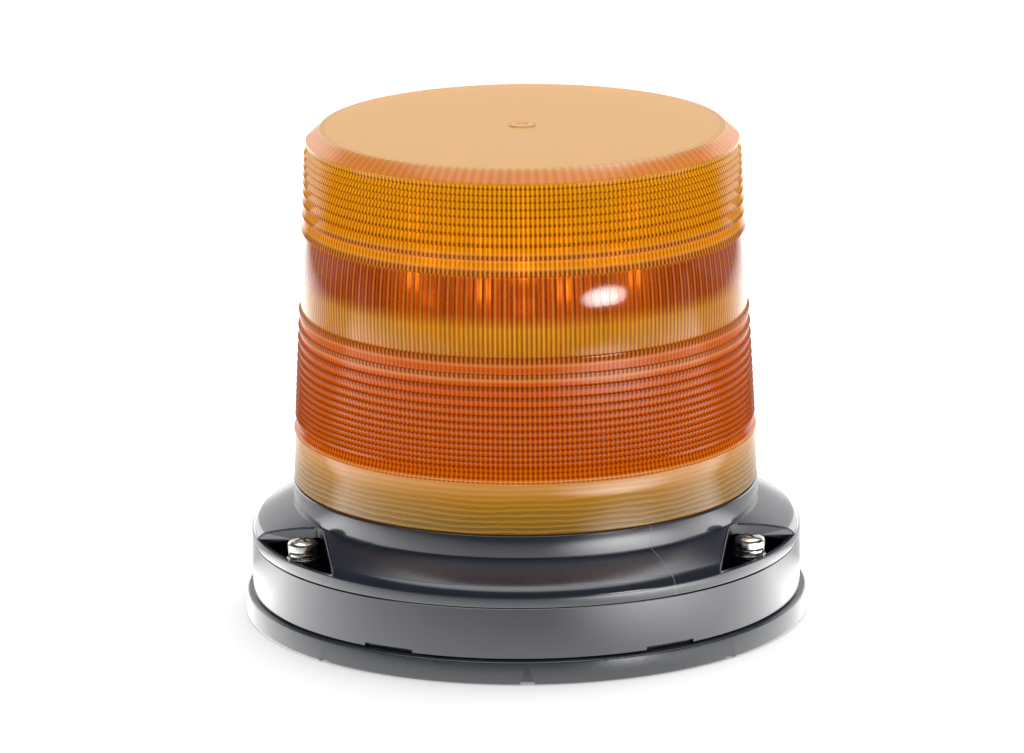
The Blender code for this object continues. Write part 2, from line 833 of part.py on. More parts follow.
def build_led(name):
    """A square package with a domed top, facing +Z of its own frame."""
    led = block(name, (led_width, led_width, led_body_height), led_yellow)
    outline = []
    for angle in (math.pi / 2, math.pi / 4, 0):
        outline.append((led_dome_radius * math.cos(angle), led_body_height + led_dome_radius * math.sin(angle)))
    outline += [(led_dome_radius, led_body_height / 2), (0, led_body_height / 2)]
    dome = turned(f"{name}_dome", outline, cutter=True, closed=False, segments=small_segments // 2)
    dome.parent = led
    fuse(led, dome)
    return led


def build_tower_top():
    link = disc("link_board", link_board_radius, 0, board_thickness, board_green, segments=small_segments * 2)
    place(link, height=tower_top + seat_gap)
    hole = disc("link_hole", pilot_radius, -overrun, board_thickness + overrun, cutter=True)
    cut(link, place(hole, height=tower_top + seat_gap))

    cap_roof = board_thickness + seat_gap
    cap_height = cap_roof + cap_wall
    cap = turned("tower_cap", [
        (pilot_radius, cap_height),
        (cap_radius - cap_edge, cap_height),
        (cap_radius, cap_height - cap_edge),
        (cap_radius, 0),
        (cap_radius - cap_wall, 0),
        (cap_radius - cap_wall, cap_roof),
        (pilot_radius, cap_roof),
    ], black_plastic, segments=small_segments * 2)
    place(cap, height=tower_top + seat_gap)
    screw = pan_screw(
        "cap_screw", board_screw_head_radius, board_screw_head_height, board_screw_radius, board_screw_length)
    place(screw, height=tower_top + seat_gap + cap_height + seat_gap)


def build_lead(name, side, material):
    """An insulated lead from the terminal block, up inside the column, to the link board's underside."""
    foot = Vector((side * terminal_screw_pitch / 2, terminal_y, board_top + 2 * seat_gap + terminal_height / 2))
    head = Vector((side * lead_hole_spread, 0, tower_top))
    reach = (head.z - foot.z) / 3
    foot_pull = foot + Vector((0, 0, reach))
    head_pull = head - Vector((0, 0, reach))
    curve = bpy.data.curves.new(name, "CURVE")
    curve.dimensions = "3D"
    curve.bevel_depth = lead_radius
    curve.bevel_resolution = 2
    curve.use_fill_caps = True
    spline = curve.splines.new("POLY")
    spline.points.add(lead_points - 1)
    for index, point in enumerate(spline.points):
        t = index / (lead_points - 1)
        s = 1 - t
        place_at = foot * s ** 3 + foot_pull * (3 * s * s * t) + head_pull * (3 * s * t * t) + head * t ** 3
        point.co = (*place_at, 1)
    lead = bpy.data.objects.new(name, curve)
    curve.materials.append(material)
    parts.objects.link(lead)
    return lead


clear_scene()
screw_azimuths = azimuths(screw_count, screw_first_azimuth)
board_post_azimuths = azimuths(screw_count, board_post_first_azimuth)
plate_post_azimuths = azimuths(screw_count, plate_post_first_azimuth)
cover_post_azimuths = azimuths(screw_count, cover_post_first_azimuth)
parts = make_collection(collection_name)
cutters = make_collection(cutter_collection_name)
rubber = make_material("rubber", (0.045, 0.048, 0.052), 0.62)
black_plastic = make_material("black_plastic", (0.030, 0.031, 0.036), 0.22)
amber = make_material("amber", (0.85, 0.26, 0.01), 0.12, alpha=0.6)
steel = make_material("steel", (0.72, 0.70, 0.66), 0.25, 1.0)
aluminium = make_material("aluminium", (0.70, 0.71, 0.72), 0.4, 1.0)
board_green = make_material("board_green", (0.02, 0.16, 0.07), 0.4)
board_white = make_material("board_white", (0.80, 0.80, 0.77), 0.4)
led_yellow = make_material("led_yellow", (0.90, 0.68, 0.06), 0.3)
can_blue = make_material("can_blue", (0.03, 0.05, 0.12), 0.35)
copper = make_material("copper", (0.62, 0.27, 0.12), 0.35, 0.6)
chip_black = make_material("chip_black", (0.02, 0.02, 0.02), 0.5)
terminal_green = make_material("terminal_green", (0.03, 0.22, 0.09), 0.45)
lead_red = make_material("lead_red", (0.55, 0.02, 0.02), 0.45)
lead_black = make_material("lead_black", (0.02, 0.02, 0.02), 0.45)

build_gasket()
build_base()
build_cover()
build_seal()
build_lens()
build_fasteners()
build_grommet()
build_driver_board()
small_screws(
    ("cover_screw_front", "cover_screw_right", "cover_screw_left"),
    cover_post_circle, cover_post_azimuths, cover_screw_seat - seat_gap, turn_over=True)
build_tower()
build_tower_top()
build_lead("lead_positive", 1, lead_red)
build_lead("lead_negative", -1, lead_black)
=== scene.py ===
import json
import math

import bmesh
import bpy
from mathutils import Matrix, Vector


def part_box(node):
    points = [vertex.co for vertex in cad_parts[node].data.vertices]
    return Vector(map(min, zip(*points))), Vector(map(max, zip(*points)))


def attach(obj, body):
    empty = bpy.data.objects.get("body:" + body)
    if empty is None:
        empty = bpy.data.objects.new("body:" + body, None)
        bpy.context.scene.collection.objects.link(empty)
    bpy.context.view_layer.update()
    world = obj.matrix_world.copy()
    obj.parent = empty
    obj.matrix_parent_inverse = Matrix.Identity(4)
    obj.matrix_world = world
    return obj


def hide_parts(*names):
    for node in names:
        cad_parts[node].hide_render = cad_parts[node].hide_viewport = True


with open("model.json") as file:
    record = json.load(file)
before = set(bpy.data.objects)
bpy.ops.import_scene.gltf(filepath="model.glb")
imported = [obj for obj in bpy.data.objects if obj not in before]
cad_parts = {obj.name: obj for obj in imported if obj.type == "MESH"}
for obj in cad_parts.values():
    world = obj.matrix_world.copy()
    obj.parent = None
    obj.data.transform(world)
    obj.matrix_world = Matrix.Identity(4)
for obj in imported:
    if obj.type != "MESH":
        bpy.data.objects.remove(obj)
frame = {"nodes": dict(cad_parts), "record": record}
scene = bpy.context.scene
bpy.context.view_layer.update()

overrun = 0.001
weldDistance = 0.00001
partingDrop = 0.0194
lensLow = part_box("lens")[0][2]
coverLow = lensLow - partingDrop  # where the cover's lip meets the base housing

# What the lens's form and its finish share: the optic's height over the rim, the first ring's distance and the flutes
opticRise = 0.0683
ringPitch = 0.01253
flutes = 148
print("frame loaded")


# One wrapper for the sockets of shader and geometry trees, so that maths reads as maths
class Wire:
    def __init__(self, maker, node, socket):
        self.maker = maker
        self.node = node
        self.socket = socket

    def maths(self, operation, first, second=None):
        return self.maker.add("ShaderNodeMath", {"operation": operation}, [first, second])

    def __add__(self, other):
        return self.maths("ADD", self, other)

    def __sub__(self, other):
        return self.maths("SUBTRACT", self, other)

    def __rsub__(self, other):
        return self.maths("SUBTRACT", other, self)

    def __mul__(self, other):
        return self.maths("MULTIPLY", self, other)

    def __truediv__(self, other):
        return self.maths("DIVIDE", self, other)

    def __mod__(self, other):
        return self.maths("FLOORED_MODULO", self, other)

    __radd__ = __add__
    __rmul__ = __mul__

    def size(self):
        return self.maths("ABSOLUTE", self)

    def atMost(self, other):
        return self.maths("MINIMUM", self, other)

    def atLeast(self, other):
        return self.maths("MAXIMUM", self, other)

    def below(self, other):
        return self.maths("LESS_THAN", self, other)

    def above(self, other):
        return self.maths("GREATER_THAN", self, other)

    def floor(self):
        return self.maths("FLOOR", self)

    def sine(self):
        return self.maths("SINE", self)

    def cosine(self):
        return self.maths("COSINE", self)

    def root(self):
        return self.maths("SQRT", self)

    def angleFrom(self, other):
        return self.maths("ARCTAN2", self, other)

    def output(self, name):
        return Wire(self.maker, self.node, self.node.outputs[name])


class Maker:
    def __init__(self, tree):
        self.tree = tree
        tree.nodes.clear()

    # The sockets come as a list in their order, or as a dictionary by name or number
    def add(self, kind, settings=None, sockets=None, output=0):
        node = self.tree.nodes.new(kind)
        for name, value in (settings or {}).items():
            if name == "stops":
                self.setStops(node.color_ramp, value)
            else:
                setattr(node, name, value)
        pairs = enumerate(sockets) if isinstance(sockets, (list, tuple)) else (sockets or {}).items()
        for name, value in pairs:
            self.feed(node.inputs[name], value)
        return Wire(self, node, node.outputs[output]) if len(node.outputs) else node

    def feed(self, socket, value):
        if isinstance(value, Wire):
            self.tree.links.new(value.socket, socket)
        elif value is not None:
            socket.default_value = value

    def setStops(self, ramp, stops):
        while len(ramp.elements) < len(stops):
            ramp.elements.new(1.0)
        for element, (place, colour) in zip(ramp.elements, stops):
            element.position = place
            element.color = colour

    def spread(self, value, low, high, toLow=0.0, toHigh=1.0):
        return self.add("ShaderNodeMapRange", None, [value, low, high, toLow, toHigh])

    def axes(self, place):
        parts = self.add("ShaderNodeSeparateXYZ", None, [place])
        return [parts.output(axis) for axis in "XYZ"]

    def glow(self, strength):
        return self.add("ShaderNodeEmission", None, {"Color": grey(1.0), "Strength": strength})

    # Rays that a surface mirrors, without those that have come through the lens
    def mirrored(self, path):
        return path.output("Is Glossy Ray") * (1.0 - path.output("Is Transmission Ray"))


# Materials
class Finish(Maker):
    def __init__(self, name, **sockets):
        self.material = bpy.data.materials.new(name)
        self.material.use_nodes = True
        super().__init__(self.material.node_tree)
        self.shader = self.add("ShaderNodeBsdfPrincipled", None, sockets)
        self.result = self.add("ShaderNodeOutputMaterial", None, {"Surface": self.shader})
        self.place = self.add("ShaderNodeTexCoord").output("Object")
        self.x, self.y, self.z = self.axes(self.place)

    def noise(self, scale, detail=4.0, roughness=0.55, stretch=(1, 1, 1)):
        stretched = self.add("ShaderNodeMapping", None, {"Vector": self.place, "Scale": stretch})
        return self.add("ShaderNodeTexNoise", None, {
            "Vector": stretched, "Scale": scale, "Detail": detail, "Roughness": roughness})

    def blend(self, factor, first, second):
        # The mix node's colour sockets share their names with others, so they go by number
        return self.add("ShaderNodeMix", {"data_type": "RGBA"}, {0: factor, 6: first, 7: second}, 2)

    def set(self, name, value):
        self.feed(self.shader.node.inputs[name], value)

    def bump(self, height, distance, strength=1.0):
        self.set("Normal", self.add("ShaderNodeBump", None, {
            "Height": height, "Distance": distance, "Strength": strength}))

    def azimuth(self):
        return self.x.angleFrom(self.y * -1.0)


def grey(value):
    return (value, value, value, 1.0)


def makeAmber():
    # Heights are over the lens's rim, and radii are as they would be there, without the wall's taper.
    # The body's stops are shares of the height, and their colours paint each zone's light and shade: a skirt darker
    # towards the rim, a darker low band, a yellow painted glow in the mid band's lower half, painted shade in its upper
    # half and a bright top band; their alpha is the share of milky body in the clear plastic. The flute, ridge, thread
    # and crest colours and the riser dash colour paint shade and highlights of the ribs, steps and threads.
    look = {"deep": (0.82, 0.43, 0.09, 1), "pale": (0.86, 0.48, 0.12, 1), "haze": 30.0, "grain": 900.0,
            "rough": (0.02, 0.05), "innerRadius": 0.0724, "innerRough": 0.16, "passed": (0.88, 0.62, 0.34, 1),
            "density": 500.0, "height": 0.1141, "taper": 0.049, "skirtTop": 0.0162, "crownLow": 0.1096,
            "rimStart": 0.0680, "flute": (0.36, 0.045, 0.002, 1), "clearFlank": 0.85, "milkyFlank": 0.78,
            "milkyTeeth": 0.25, "riserShade": (0.15, 0.022, 0.001, 1), "riser": (0.31, 0.45, 1.0, 0.0), "dashFloor": 0.25,
            "clearDash": 0.8, "dashBody": 0.9, "ridge": (0.93, 0.44, 0.12, 1),
            "steps": (0.0825, 0.0868, 0.0542, 0.0494), "stepEdge": (0.0008, 0.0018, 0.5, 0.0), "bead": 0.0166,
            "beadEdge": (0.0003, 0.0007, 0.6, 0.0), "thread": (0.95, 0.62, 0.06, 1), "threadRise": 0.0017,
            "threadEdge": (-0.2, 0.9), "threadShare": 0.45, "waver": 45.0, "waverSize": 9.0,
            "crest": (0.95, 0.46, 0.06, 1), "crestEdge": (0.4, 0.95, 0.0, 0.45), "pipRingShade": (0.00937, 0.01027),
            "pipShare": 0.3, "glow": 0.42, "crownCoat": 0.6, "satinRough": (0.28, 0.36), "grainHeight": 0.01,
            "relief": 0.0002, "witnessAzimuth": math.radians(-48), "witnessHalf": 0.0022,
            "body": [(0.0, (0.24, 0.15, 0.02, 0.4)), (0.07, (0.42, 0.24, 0.02, 0.4)), (0.135, (0.84, 0.38, 0.02, 0.4)),
                     (0.15, (0.80, 0.18, 0.001, 0.65)), (0.48, (0.76, 0.16, 0.001, 0.65)),
                     (0.50, (0.96, 0.58, 0.015, 0.34)), (0.565, (1.0, 0.68, 0.02, 0.34)),
                     (0.605, (0.50, 0.10, 0.001, 0.22)), (0.70, (0.50, 0.10, 0.001, 0.22)),
                     (0.715, (1.0, 0.46, 0.003, 0.62)), (0.961, (1.0, 0.56, 0.003, 0.62)),
                     (0.966, (0.98, 0.36, 0.07, 0.85)), (0.990, (0.98, 0.38, 0.08, 0.85)),
                     (0.994, (0.92, 0.52, 0.15, 0.85))]}
    amber = Finish("amberPolycarbonate", **{
        "IOR": 1.585, "Transmission Weight": 0.96, "Specular IOR Level": 0.05, "Coat IOR": 1.4, "Coat Roughness": 0.12})
    height = amber.z - lensLow
    cloud = amber.noise(look["haze"], 3.0)
    grain = amber.noise(look["grain"], 2.0)
    radius = (amber.x * amber.x + amber.y * amber.y).root() + height * look["taper"]
    inner = radius.below(look["innerRadius"])
    amber.set("Roughness", amber.spread(grain, 0.35, 0.65, *look["rough"]) + inner * look["innerRough"])
    # Painted shade and light of the rings and ribs: dark where a riser crosses a rib's flank, pale painted highlights
    # on the widest facets.
    # A ring's number grows with the square of its distance from the optic's middle.
    away = (height - opticRise).size() / ringPitch
    ring = away * away
    crown = height.above(look["crownLow"])
    skirt = height.below(look["skirtTop"])
    drum = (1.0 - crown) * (1.0 - skirt)
    bands = ring.above(1.0) * drum
    # Painted light and shade: stripes, two to a flute, standing in for light refracted by the inner flutes
    flank = (0.5 - (amber.azimuth() * (flutes * 2)).cosine() * 0.5) * drum
    # Painted shade: dark stripes, one to a flute, round the crown's rim
    toothShade = (0.5 - (amber.azimuth() * flutes).cosine() * 0.5) * radius.above(look["rimStart"]) * crown
    # Painted shade: dark dashes along the risers, darkest where they cross the rib flanks
    riserShade = amber.spread(ring % 1.0, *look["riser"]) * bands * (look["dashFloor"] + flank * (1 - look["dashFloor"]))
    # Painted highlights: pale lines along the widest ring steps and the lip's bead
    step = None
    for place in look["steps"]:
        gap = (height - place).size()
        step = gap if step is None else step.atMost(gap)
    bead = (height - look["bead"]).size()
    ridge = amber.spread(step, *look["stepEdge"]).atLeast(amber.spread(bead, *look["beadEdge"]))
    # Painted light and shade in the skirt: golden waves standing in for the threads seen through it
    waver = amber.noise(look["waver"], 3.0, 0.5, (1, 1, 3)) * look["waverSize"]
    wave = (height * (math.tau / look["threadRise"]) + waver).sine()
    threads = amber.spread(wave, *look["threadEdge"]) * skirt
    # Painted light: bright stripes over the mid band, one to a flute, standing in for light refracted by the flutes
    crest = amber.spread((amber.azimuth() * flutes).cosine(), *look["crestEdge"]) * ring.below(1.0)
    clear = amber.blend(cloud, look["deep"], look["pale"])
    # The clear plastic's colour is darkened by painted shade in flute stripes and riser dashes
    shaded = (flank * look["clearFlank"]).atLeast(riserShade * look["clearDash"])
    amber.set("Base Color", amber.blend(shaded, clear, look["flute"]))
    amber.set("Coat Weight", 1.0 - bands)
    # Painted light and shade by height: the body's stops colour each zone of the lens
    body = amber.add("ShaderNodeValToRGB", {"stops": look["body"]}, [height * (1 / look["height"])])
    share = body.output("Alpha")
    # Painted shade in a ring round the gate's pip
    pipRingShade = crown * radius.above(look["pipRingShade"][0]) * radius.below(look["pipRingShade"][1])
    shaded = (flank * look["milkyFlank"]).atLeast(toothShade * look["milkyTeeth"]).atLeast(pipRingShade * look["pipShare"])
    colour = amber.blend(ridge, amber.blend(shaded, body, look["flute"]), look["ridge"])
    colour = amber.blend(riserShade, colour, look["riserShade"])
    colour = amber.blend(threads * look["threadShare"], colour, look["thread"])
    colour = amber.blend(crest, colour, look["crest"])
    # The milky body glows with its own colour over the drum, a painted glow that brightens it; the crown does not glow
    satin = amber.add("ShaderNodeBsdfPrincipled", None, {
        "Base Color": colour, "Roughness": amber.spread(cloud, 0.35, 0.65, *look["satinRough"]), "IOR": 1.01,
        "Transmission Weight": 0.3, "Coat Weight": crown * look["crownCoat"], "Coat IOR": 1.5, "Coat Roughness": 0.25,
        "Emission Color": amber.blend(crown, colour, grey(0.0)), "Emission Strength": look["glow"]})
    milky = share.atLeast(riserShade * look["dashBody"]).atLeast(ridge).atLeast(crest)
    amber.feed(amber.result.inputs["Surface"], amber.add("ShaderNodeMixShader", None, [milky, amber.shader, satin]))
    line = (amber.azimuth() - look["witnessAzimuth"]).size().below(look["witnessHalf"])
    amber.bump(line * skirt + grain * look["grainHeight"], look["relief"])
    amber.feed(amber.result.inputs["Volume"], amber.add("ShaderNodeVolumeAbsorption", None, {
        "Color": look["passed"], "Density": look["density"]}))
    return amber.material


def makeGloss():
    look = {"base": (0.013, 0.016, 0.028, 1), "worn": (0.018, 0.021, 0.033, 1), "neckLow": 0.0062, "neckHigh": 0.0118,
            "partAzimuth": math.radians(31.6), "partHalf": 0.0016, "partColour": (0.16, 0.16, 0.17, 1),
            "partRough": 0.2, "rough": (0.22, 0.26), "haze": 60.0, "grain": 700.0, "ripple": 420.0,
            "rippleHeight": 0.01, "relief": 0.00006}
    gloss = Finish("glossyBlackPlastic", **{"IOR": 1.54, "Coat Roughness": 0.06, "Coat IOR": 1.5})
    cloud = gloss.noise(look["haze"], 5.0)
    plain = gloss.blend(gloss.spread(cloud, 0.35, 0.7), look["base"], look["worn"])
    line = (gloss.azimuth() - look["partAzimuth"]).size().below(look["partHalf"])
    line = line * gloss.z.above(coverLow)
    gloss.set("Base Color", gloss.blend(line, plain, look["partColour"]))
    grain = gloss.noise(look["grain"], 3.0)
    gloss.set("Roughness", gloss.spread(grain, 0.3, 0.7, *look["rough"]) + line * look["partRough"])
    neck = gloss.z.above(coverLow + look["neckLow"]) * gloss.z.below(coverLow + look["neckHigh"])
    gloss.set("Coat Weight", 1.0 - neck)
    gloss.bump(gloss.noise(look["ripple"], 2.0) * look["rippleHeight"] + line, look["relief"], 0.6)
    return gloss.material


def makeRubber():
    rubber = Finish("mouldedRubber", **{"IOR": 1.55, "Coat Weight": 0.3, "Coat Roughness": 0.2})
    chalk = rubber.spread(rubber.noise(45.0, 6.0, 0.65), 0.35, 0.75)
    rubber.set("Base Color", rubber.blend(chalk, (0.024, 0.029, 0.036, 1), (0.038, 0.044, 0.052, 1)))
    grain = rubber.noise(2200.0, 3.0)
    rubber.set("Roughness", rubber.spread(chalk + grain * 0.4, 0.0, 1.4, 0.24, 0.36))
    rubber.bump(grain, 0.00008, 0.4)
    return rubber.material


def makeStainless():
    steel = Finish("stainlessSteel", **{"Metallic": 1.0})
    turning = steel.noise(1500.0, 4.0, 0.6, (1, 1, 6))
    steel.set("Base Color", steel.blend(turning, (0.62, 0.60, 0.56, 1), (0.86, 0.84, 0.80, 1)))
    steel.set("Roughness", steel.spread(turning, 0.3, 0.7, 0.14, 0.32))
    steel.bump(turning, 0.00003, 0.5)
    return steel.material


def makeCast():
    cast = Finish("castAluminium", **{"Metallic": 1.0})
    skin = cast.noise(800.0, 5.0, 0.6)
    cast.set("Base Color", cast.blend(cast.noise(50.0), (0.55, 0.56, 0.57, 1), (0.76, 0.77, 0.78, 1)))
    cast.set("Roughness", cast.spread(skin, 0.3, 0.7, 0.35, 0.55))
    cast.bump(skin, 0.00008, 0.6)
    return cast.material


def makeBoard(name, mask, track, pitch, glow=0.0):
    # The glow is painted light: an emission standing in for outside light brightening the inside of the lens
    board = Finish(name, **{"IOR": 1.5, "Coat Weight": 0.3, "Emission Color": (1.0, 0.62, 0.16, 1),
                            "Emission Strength": glow})
    weave = ((board.x / pitch % 1.0) - 0.5).size().below(0.12) + ((board.y / pitch % 1.0) - 0.5).size().below(0.12)
    broken = board.noise(240.0, 1.0).above(0.52)
    tracks = (weave * broken).atMost(1.0)
    board.set("Base Color", board.blend(tracks, mask, track))
    board.set("Roughness", board.spread(board.noise(600.0), 0.3, 0.7, 0.25, 0.42))
    board.bump(tracks, 0.00004)
    return board.material


def makePlain(name, dark, pale, roughLow, roughHigh, grain=700.0, lift=0.00005, **sockets):
    plain = Finish(name, **sockets)
    cloud = plain.spread(plain.noise(grain / 8, 4.0), 0.35, 0.65)
    plain.set("Base Color", plain.blend(cloud, dark, pale))
    skin = plain.noise(grain, 3.0)
    plain.set("Roughness", plain.spread(skin, 0.3, 0.7, roughLow, roughHigh))
    plain.bump(skin, lift, 0.5)
    return plain.material


def makeCopper():
    copper = Finish("copperWinding", **{"Metallic": 0.8})
    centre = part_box("filter_inductor")
    middle = [(centre[0][axis] + centre[1][axis]) / 2 for axis in range(3)]
    turns = 34
    angle = (copper.y - middle[1]).angleFrom(copper.x - middle[0])
    # Painted shade: the copper darkens towards each turn's edges, where the turns meet
    strand = ((angle * (turns / math.tau) % 1.0) - 0.5).size() * 2.0
    copper.set("Base Color", copper.blend(strand, (0.72, 0.33, 0.14, 1), (0.25, 0.08, 0.03, 1)))
    copper.set("Roughness", copper.spread(strand, 0.0, 1.0, 0.25, 0.5))
    copper.bump(1.0 - strand * strand, 0.0004)
    return copper.material


finishes = {
    "amber": makeAmber(),
    "black_plastic": makeGloss(),
    "rubber": makeRubber(),
    "steel": makeStainless(),
    "aluminium": makeCast(),
    "board_green": makeBoard("greenBoard", (0.010, 0.085, 0.030, 1), (0.035, 0.20, 0.07, 1), 0.0021),
    # The white boards and the LEDs carry painted glows standing in for outside light inside the lens
    "board_white": makeBoard("whiteBoard", (0.78, 0.78, 0.74, 1), (0.62, 0.62, 0.56, 1), 0.0027, 0.7),
    "led_yellow": makePlain("ledPhosphor", (0.85, 0.55, 0.03, 1), (0.95, 0.75, 0.08, 1), 0.12, 0.2, IOR=1.41,
                            **{"Coat Weight": 1.0, "Emission Color": (1.0, 0.72, 0.2, 1), "Emission Strength": 5.0}),
    "can_blue": makePlain("capacitorSleeve", (0.012, 0.018, 0.05, 1), (0.022, 0.03, 0.075, 1), 0.25, 0.35),
    "copper": makeCopper(),
    "chip_black": makePlain("chipEpoxy", (0.012, 0.012, 0.013, 1), (0.025, 0.025, 0.027, 1), 0.45, 0.6, 1500.0),
    "terminal_green": makePlain("terminalNylon", (0.012, 0.14, 0.045, 1), (0.02, 0.19, 0.065, 1), 0.35, 0.5),
    "lead_red": makePlain("redInsulation", (0.42, 0.012, 0.01, 1), (0.52, 0.02, 0.015, 1), 0.35, 0.5),
    "lead_black": makePlain("blackInsulation", (0.014, 0.014, 0.015, 1), (0.024, 0.024, 0.026, 1), 0.35, 0.5),
}
print("materials made")


# Meshes
def finalMesh(obj):
    return bpy.data.meshes.new_from_object(obj.evaluated_get(bpy.context.evaluated_depsgraph_get()))


def keepMesh(obj):
    mesh = finalMesh(obj)
    obj.modifiers.clear()
    obj.data = mesh


def faceOutwards(mesh, sharpAngle=30):
    form = bmesh.new()
    form.from_mesh(mesh)
    bmesh.ops.recalc_face_normals(form, faces=form.faces)
    form.to_mesh(mesh)
    form.free()
    mesh.shade_smooth()
    mesh.set_sharp_from_angle(angle=math.radians(sharpAngle))


def addObject(name, data):
    obj = bpy.data.objects.new(name, data)
    scene.collection.objects.link(obj)
    return obj


def dress(obj, slot):
    obj.data.materials.clear()
    obj.data.materials.append(finishes[slot])


def addSocket(tree, name, kind, direction="INPUT"):
    return tree.interface.new_socket(name, in_out=direction, socket_type=kind)


# The tree turns an outline round Z: a grid whose rows follow the outline's points and whose columns are azimuths.
# Shares on the outline's points say where flutes, ribs and a thread change the wall.
def makeTurningTree():
    tree = bpy.data.node_groups.new("turnedShell", "GeometryNodeTree")
    maker = Maker(tree)
    addSocket(tree, "Outline", "NodeSocketGeometry")
    for name in ("Columns", "Flutes", "Ribs"):
        addSocket(tree, name, "NodeSocketInt")
    for name in ("Flute Depth", "Rib Depth", "Pitch", "Thread Depth", "Thread Turn"):
        addSocket(tree, name, "NodeSocketFloat")
    addSocket(tree, "Finish", "NodeSocketMaterial")
    addSocket(tree, "Shell", "NodeSocketGeometry", "OUTPUT")
    asked = maker.add("NodeGroupInput").output
    outline = asked("Outline")
    columns = asked("Columns")
    rows = maker.add("GeometryNodeAttributeDomainSize", None, [outline]).output("Point Count")
    grid = maker.add("GeometryNodeMeshGrid", None, {"Vertices X": columns + 1.0, "Vertices Y": rows})
    index = maker.add("GeometryNodeInputIndex")
    column = (index / rows + weldDistance).floor()
    row = index - column * rows

    def atRow(value, kind="FLOAT"):
        return maker.add("GeometryNodeSampleIndex", {"data_type": kind}, {
            "Geometry": outline, "Value": value, "Index": row})

    def share(name):
        return atRow(maker.add("GeometryNodeInputNamedAttribute", {"data_type": "FLOAT"}, {"Name": name}))

    point = atRow(maker.add("GeometryNodeInputPosition"), "FLOAT_VECTOR")
    x, _, z = maker.axes(point)
    turn = column / columns
    flute = ((turn * asked("Flutes") * math.tau).cosine() + 1.0) * 0.5
    flute = flute * asked("Flute Depth") * share("flute")
    rib = (turn * asked("Ribs") + 0.5 * weldDistance) % 1.0
    ribDrop = rib.below(asked("Ribs") / columns * 0.5) * asked("Rib Depth") * share("rib")
    lead = z / asked("Pitch") - turn + asked("Thread Turn")
    crest = (1.0 - ((lead % 1.0) - 0.5).size() * 4.0).atLeast(0.0)
    crestCut = 1.6  # the thread's crest is cut off flat where this lifts it past its depth
    thread = (crest * crestCut).atMost(1.0) * asked("Thread Depth") * share("thread")
    radius = x + flute + thread
    angle = turn * math.tau
    moved = maker.add("ShaderNodeCombineXYZ", None, [
        radius * angle.sine(), radius * angle.cosine() * -1.0, z - ribDrop])
    shell = maker.add("GeometryNodeSetPosition", None, {"Geometry": grid, "Position": moved})
    shell = maker.add("GeometryNodeMergeByDistance", None, {"Geometry": shell, "Distance": weldDistance})
    shell = maker.add("GeometryNodeSetMaterial", None, {"Geometry": shell, "Material": asked("Finish")})
    maker.add("NodeGroupOutput", None, [shell])
    return tree


turningTree = makeTurningTree()


def setInputs(modifier, values):
    for item in modifier.node_group.interface.items_tree:
        if item.item_type == "SOCKET" and item.in_out == "INPUT" and item.name in values:
            modifier[item.identifier] = values[item.name]


# An outline is a list of (radius, height) points, each with its shares after them where it has any
def turned(name, outline, columns, closed=False, **values):
    points = outline + [outline[0]] if closed else outline
    mesh = bpy.data.meshes.new(name)
    mesh.from_pydata([(point[0], 0.0, point[1]) for point in points], [(i, i + 1) for i in range(len(points) - 1)], [])
    for shareName in ("flute", "rib", "thread"):
        layer = mesh.attributes.new(shareName, "FLOAT", "POINT")
        layer.data.foreach_set("value", [point[2].get(shareName, 0.0) if len(point) > 2 else 0.0 for point in points])
    obj = addObject(name, mesh)
    modifier = obj.modifiers.new("turnedShell", "NODES")
    modifier.node_group = turningTree
    settings = {"Columns": columns, "Flutes": 1, "Flute Depth": 0.0, "Ribs": 1, "Rib Depth": 0.0, "Pitch": 1.0,
                "Thread Depth": 0.0, "Thread Turn": 0.0, "Finish": finishes["steel"]}
    settings.update({key.replace("_", " "): value for key, value in values.items()})
    setInputs(modifier, settings)
    keepMesh(obj)
    faceOutwards(obj.data)
    return obj


def arc(centre, radius, start, end, steps):
    points = []
    for step in range(steps + 1):
        angle = math.radians(start + (end - start) * step / steps)
        points.append((centre[0] + radius * math.cos(angle), centre[1] + radius * math.sin(angle)))
    return points


# Points from start to end, standing off the straight line by sag at its middle, to the left of the way
def bowed(start, end, sag, steps):
    across = (start[1] - end[1], end[0] - start[0])
    length = math.hypot(*across)
    points = []
    for step in range(steps + 1):
        share = step / steps
        lift = sag * 4 * share * (1 - share) / length
        points.append((start[0] + (end[0] - start[0]) * share + across[0] * lift,
                       start[1] + (end[1] - start[1]) * share + across[1] * lift))
    return points


# Points at shares of the straight way from start to end, with what marks them for the turning tree
def between(start, end, shares, **marks):
    return [(start[0] + (end[0] - start[0]) * share, start[1] + (end[1] - start[1]) * share, marks)
            for share in shares]


# Points along a threaded wall, where the thread fades in and out
def threadRun(radius, start, end, spacing, fadeSteps=4):
    steps = round(abs(end - start) / spacing)
    return [(radius, start + (end - start) * step / steps, {"thread": min(1.0, min(step, steps - step) / fadeSteps)})
            for step in range(steps + 1)]


def combine(target, others, operation):
    group = bpy.data.collections.new(f"{target.name}_{operation}")
    scene.collection.children.link(group)
    for other in others:
        scene.collection.objects.unlink(other)
        group.objects.link(other)
    change = target.modifiers.new(operation, "BOOLEAN")
    change.operation = operation
    change.solver = "EXACT"
    change.operand_type = "COLLECTION"
    change.collection = group
    keepMesh(target)
    for other in others:
        bpy.data.objects.remove(other, do_unlink=True)
    bpy.data.collections.remove(group)
    faceOutwards(target.data)


def addForm(name, form):
    mesh = bpy.data.meshes.new(name)
    form.to_mesh(mesh)
    form.free()
    return addObject(name, mesh)


def cylinder(name, radius, low, high, segments=32):
    form = bmesh.new()
    bmesh.ops.create_cone(form, cap_ends=True, segments=segments, radius1=radius, radius2=radius, depth=high - low)
    bmesh.ops.translate(form, verts=form.verts, vec=Vector((0, 0, (low + high) / 2)))
    return addForm(name, form)


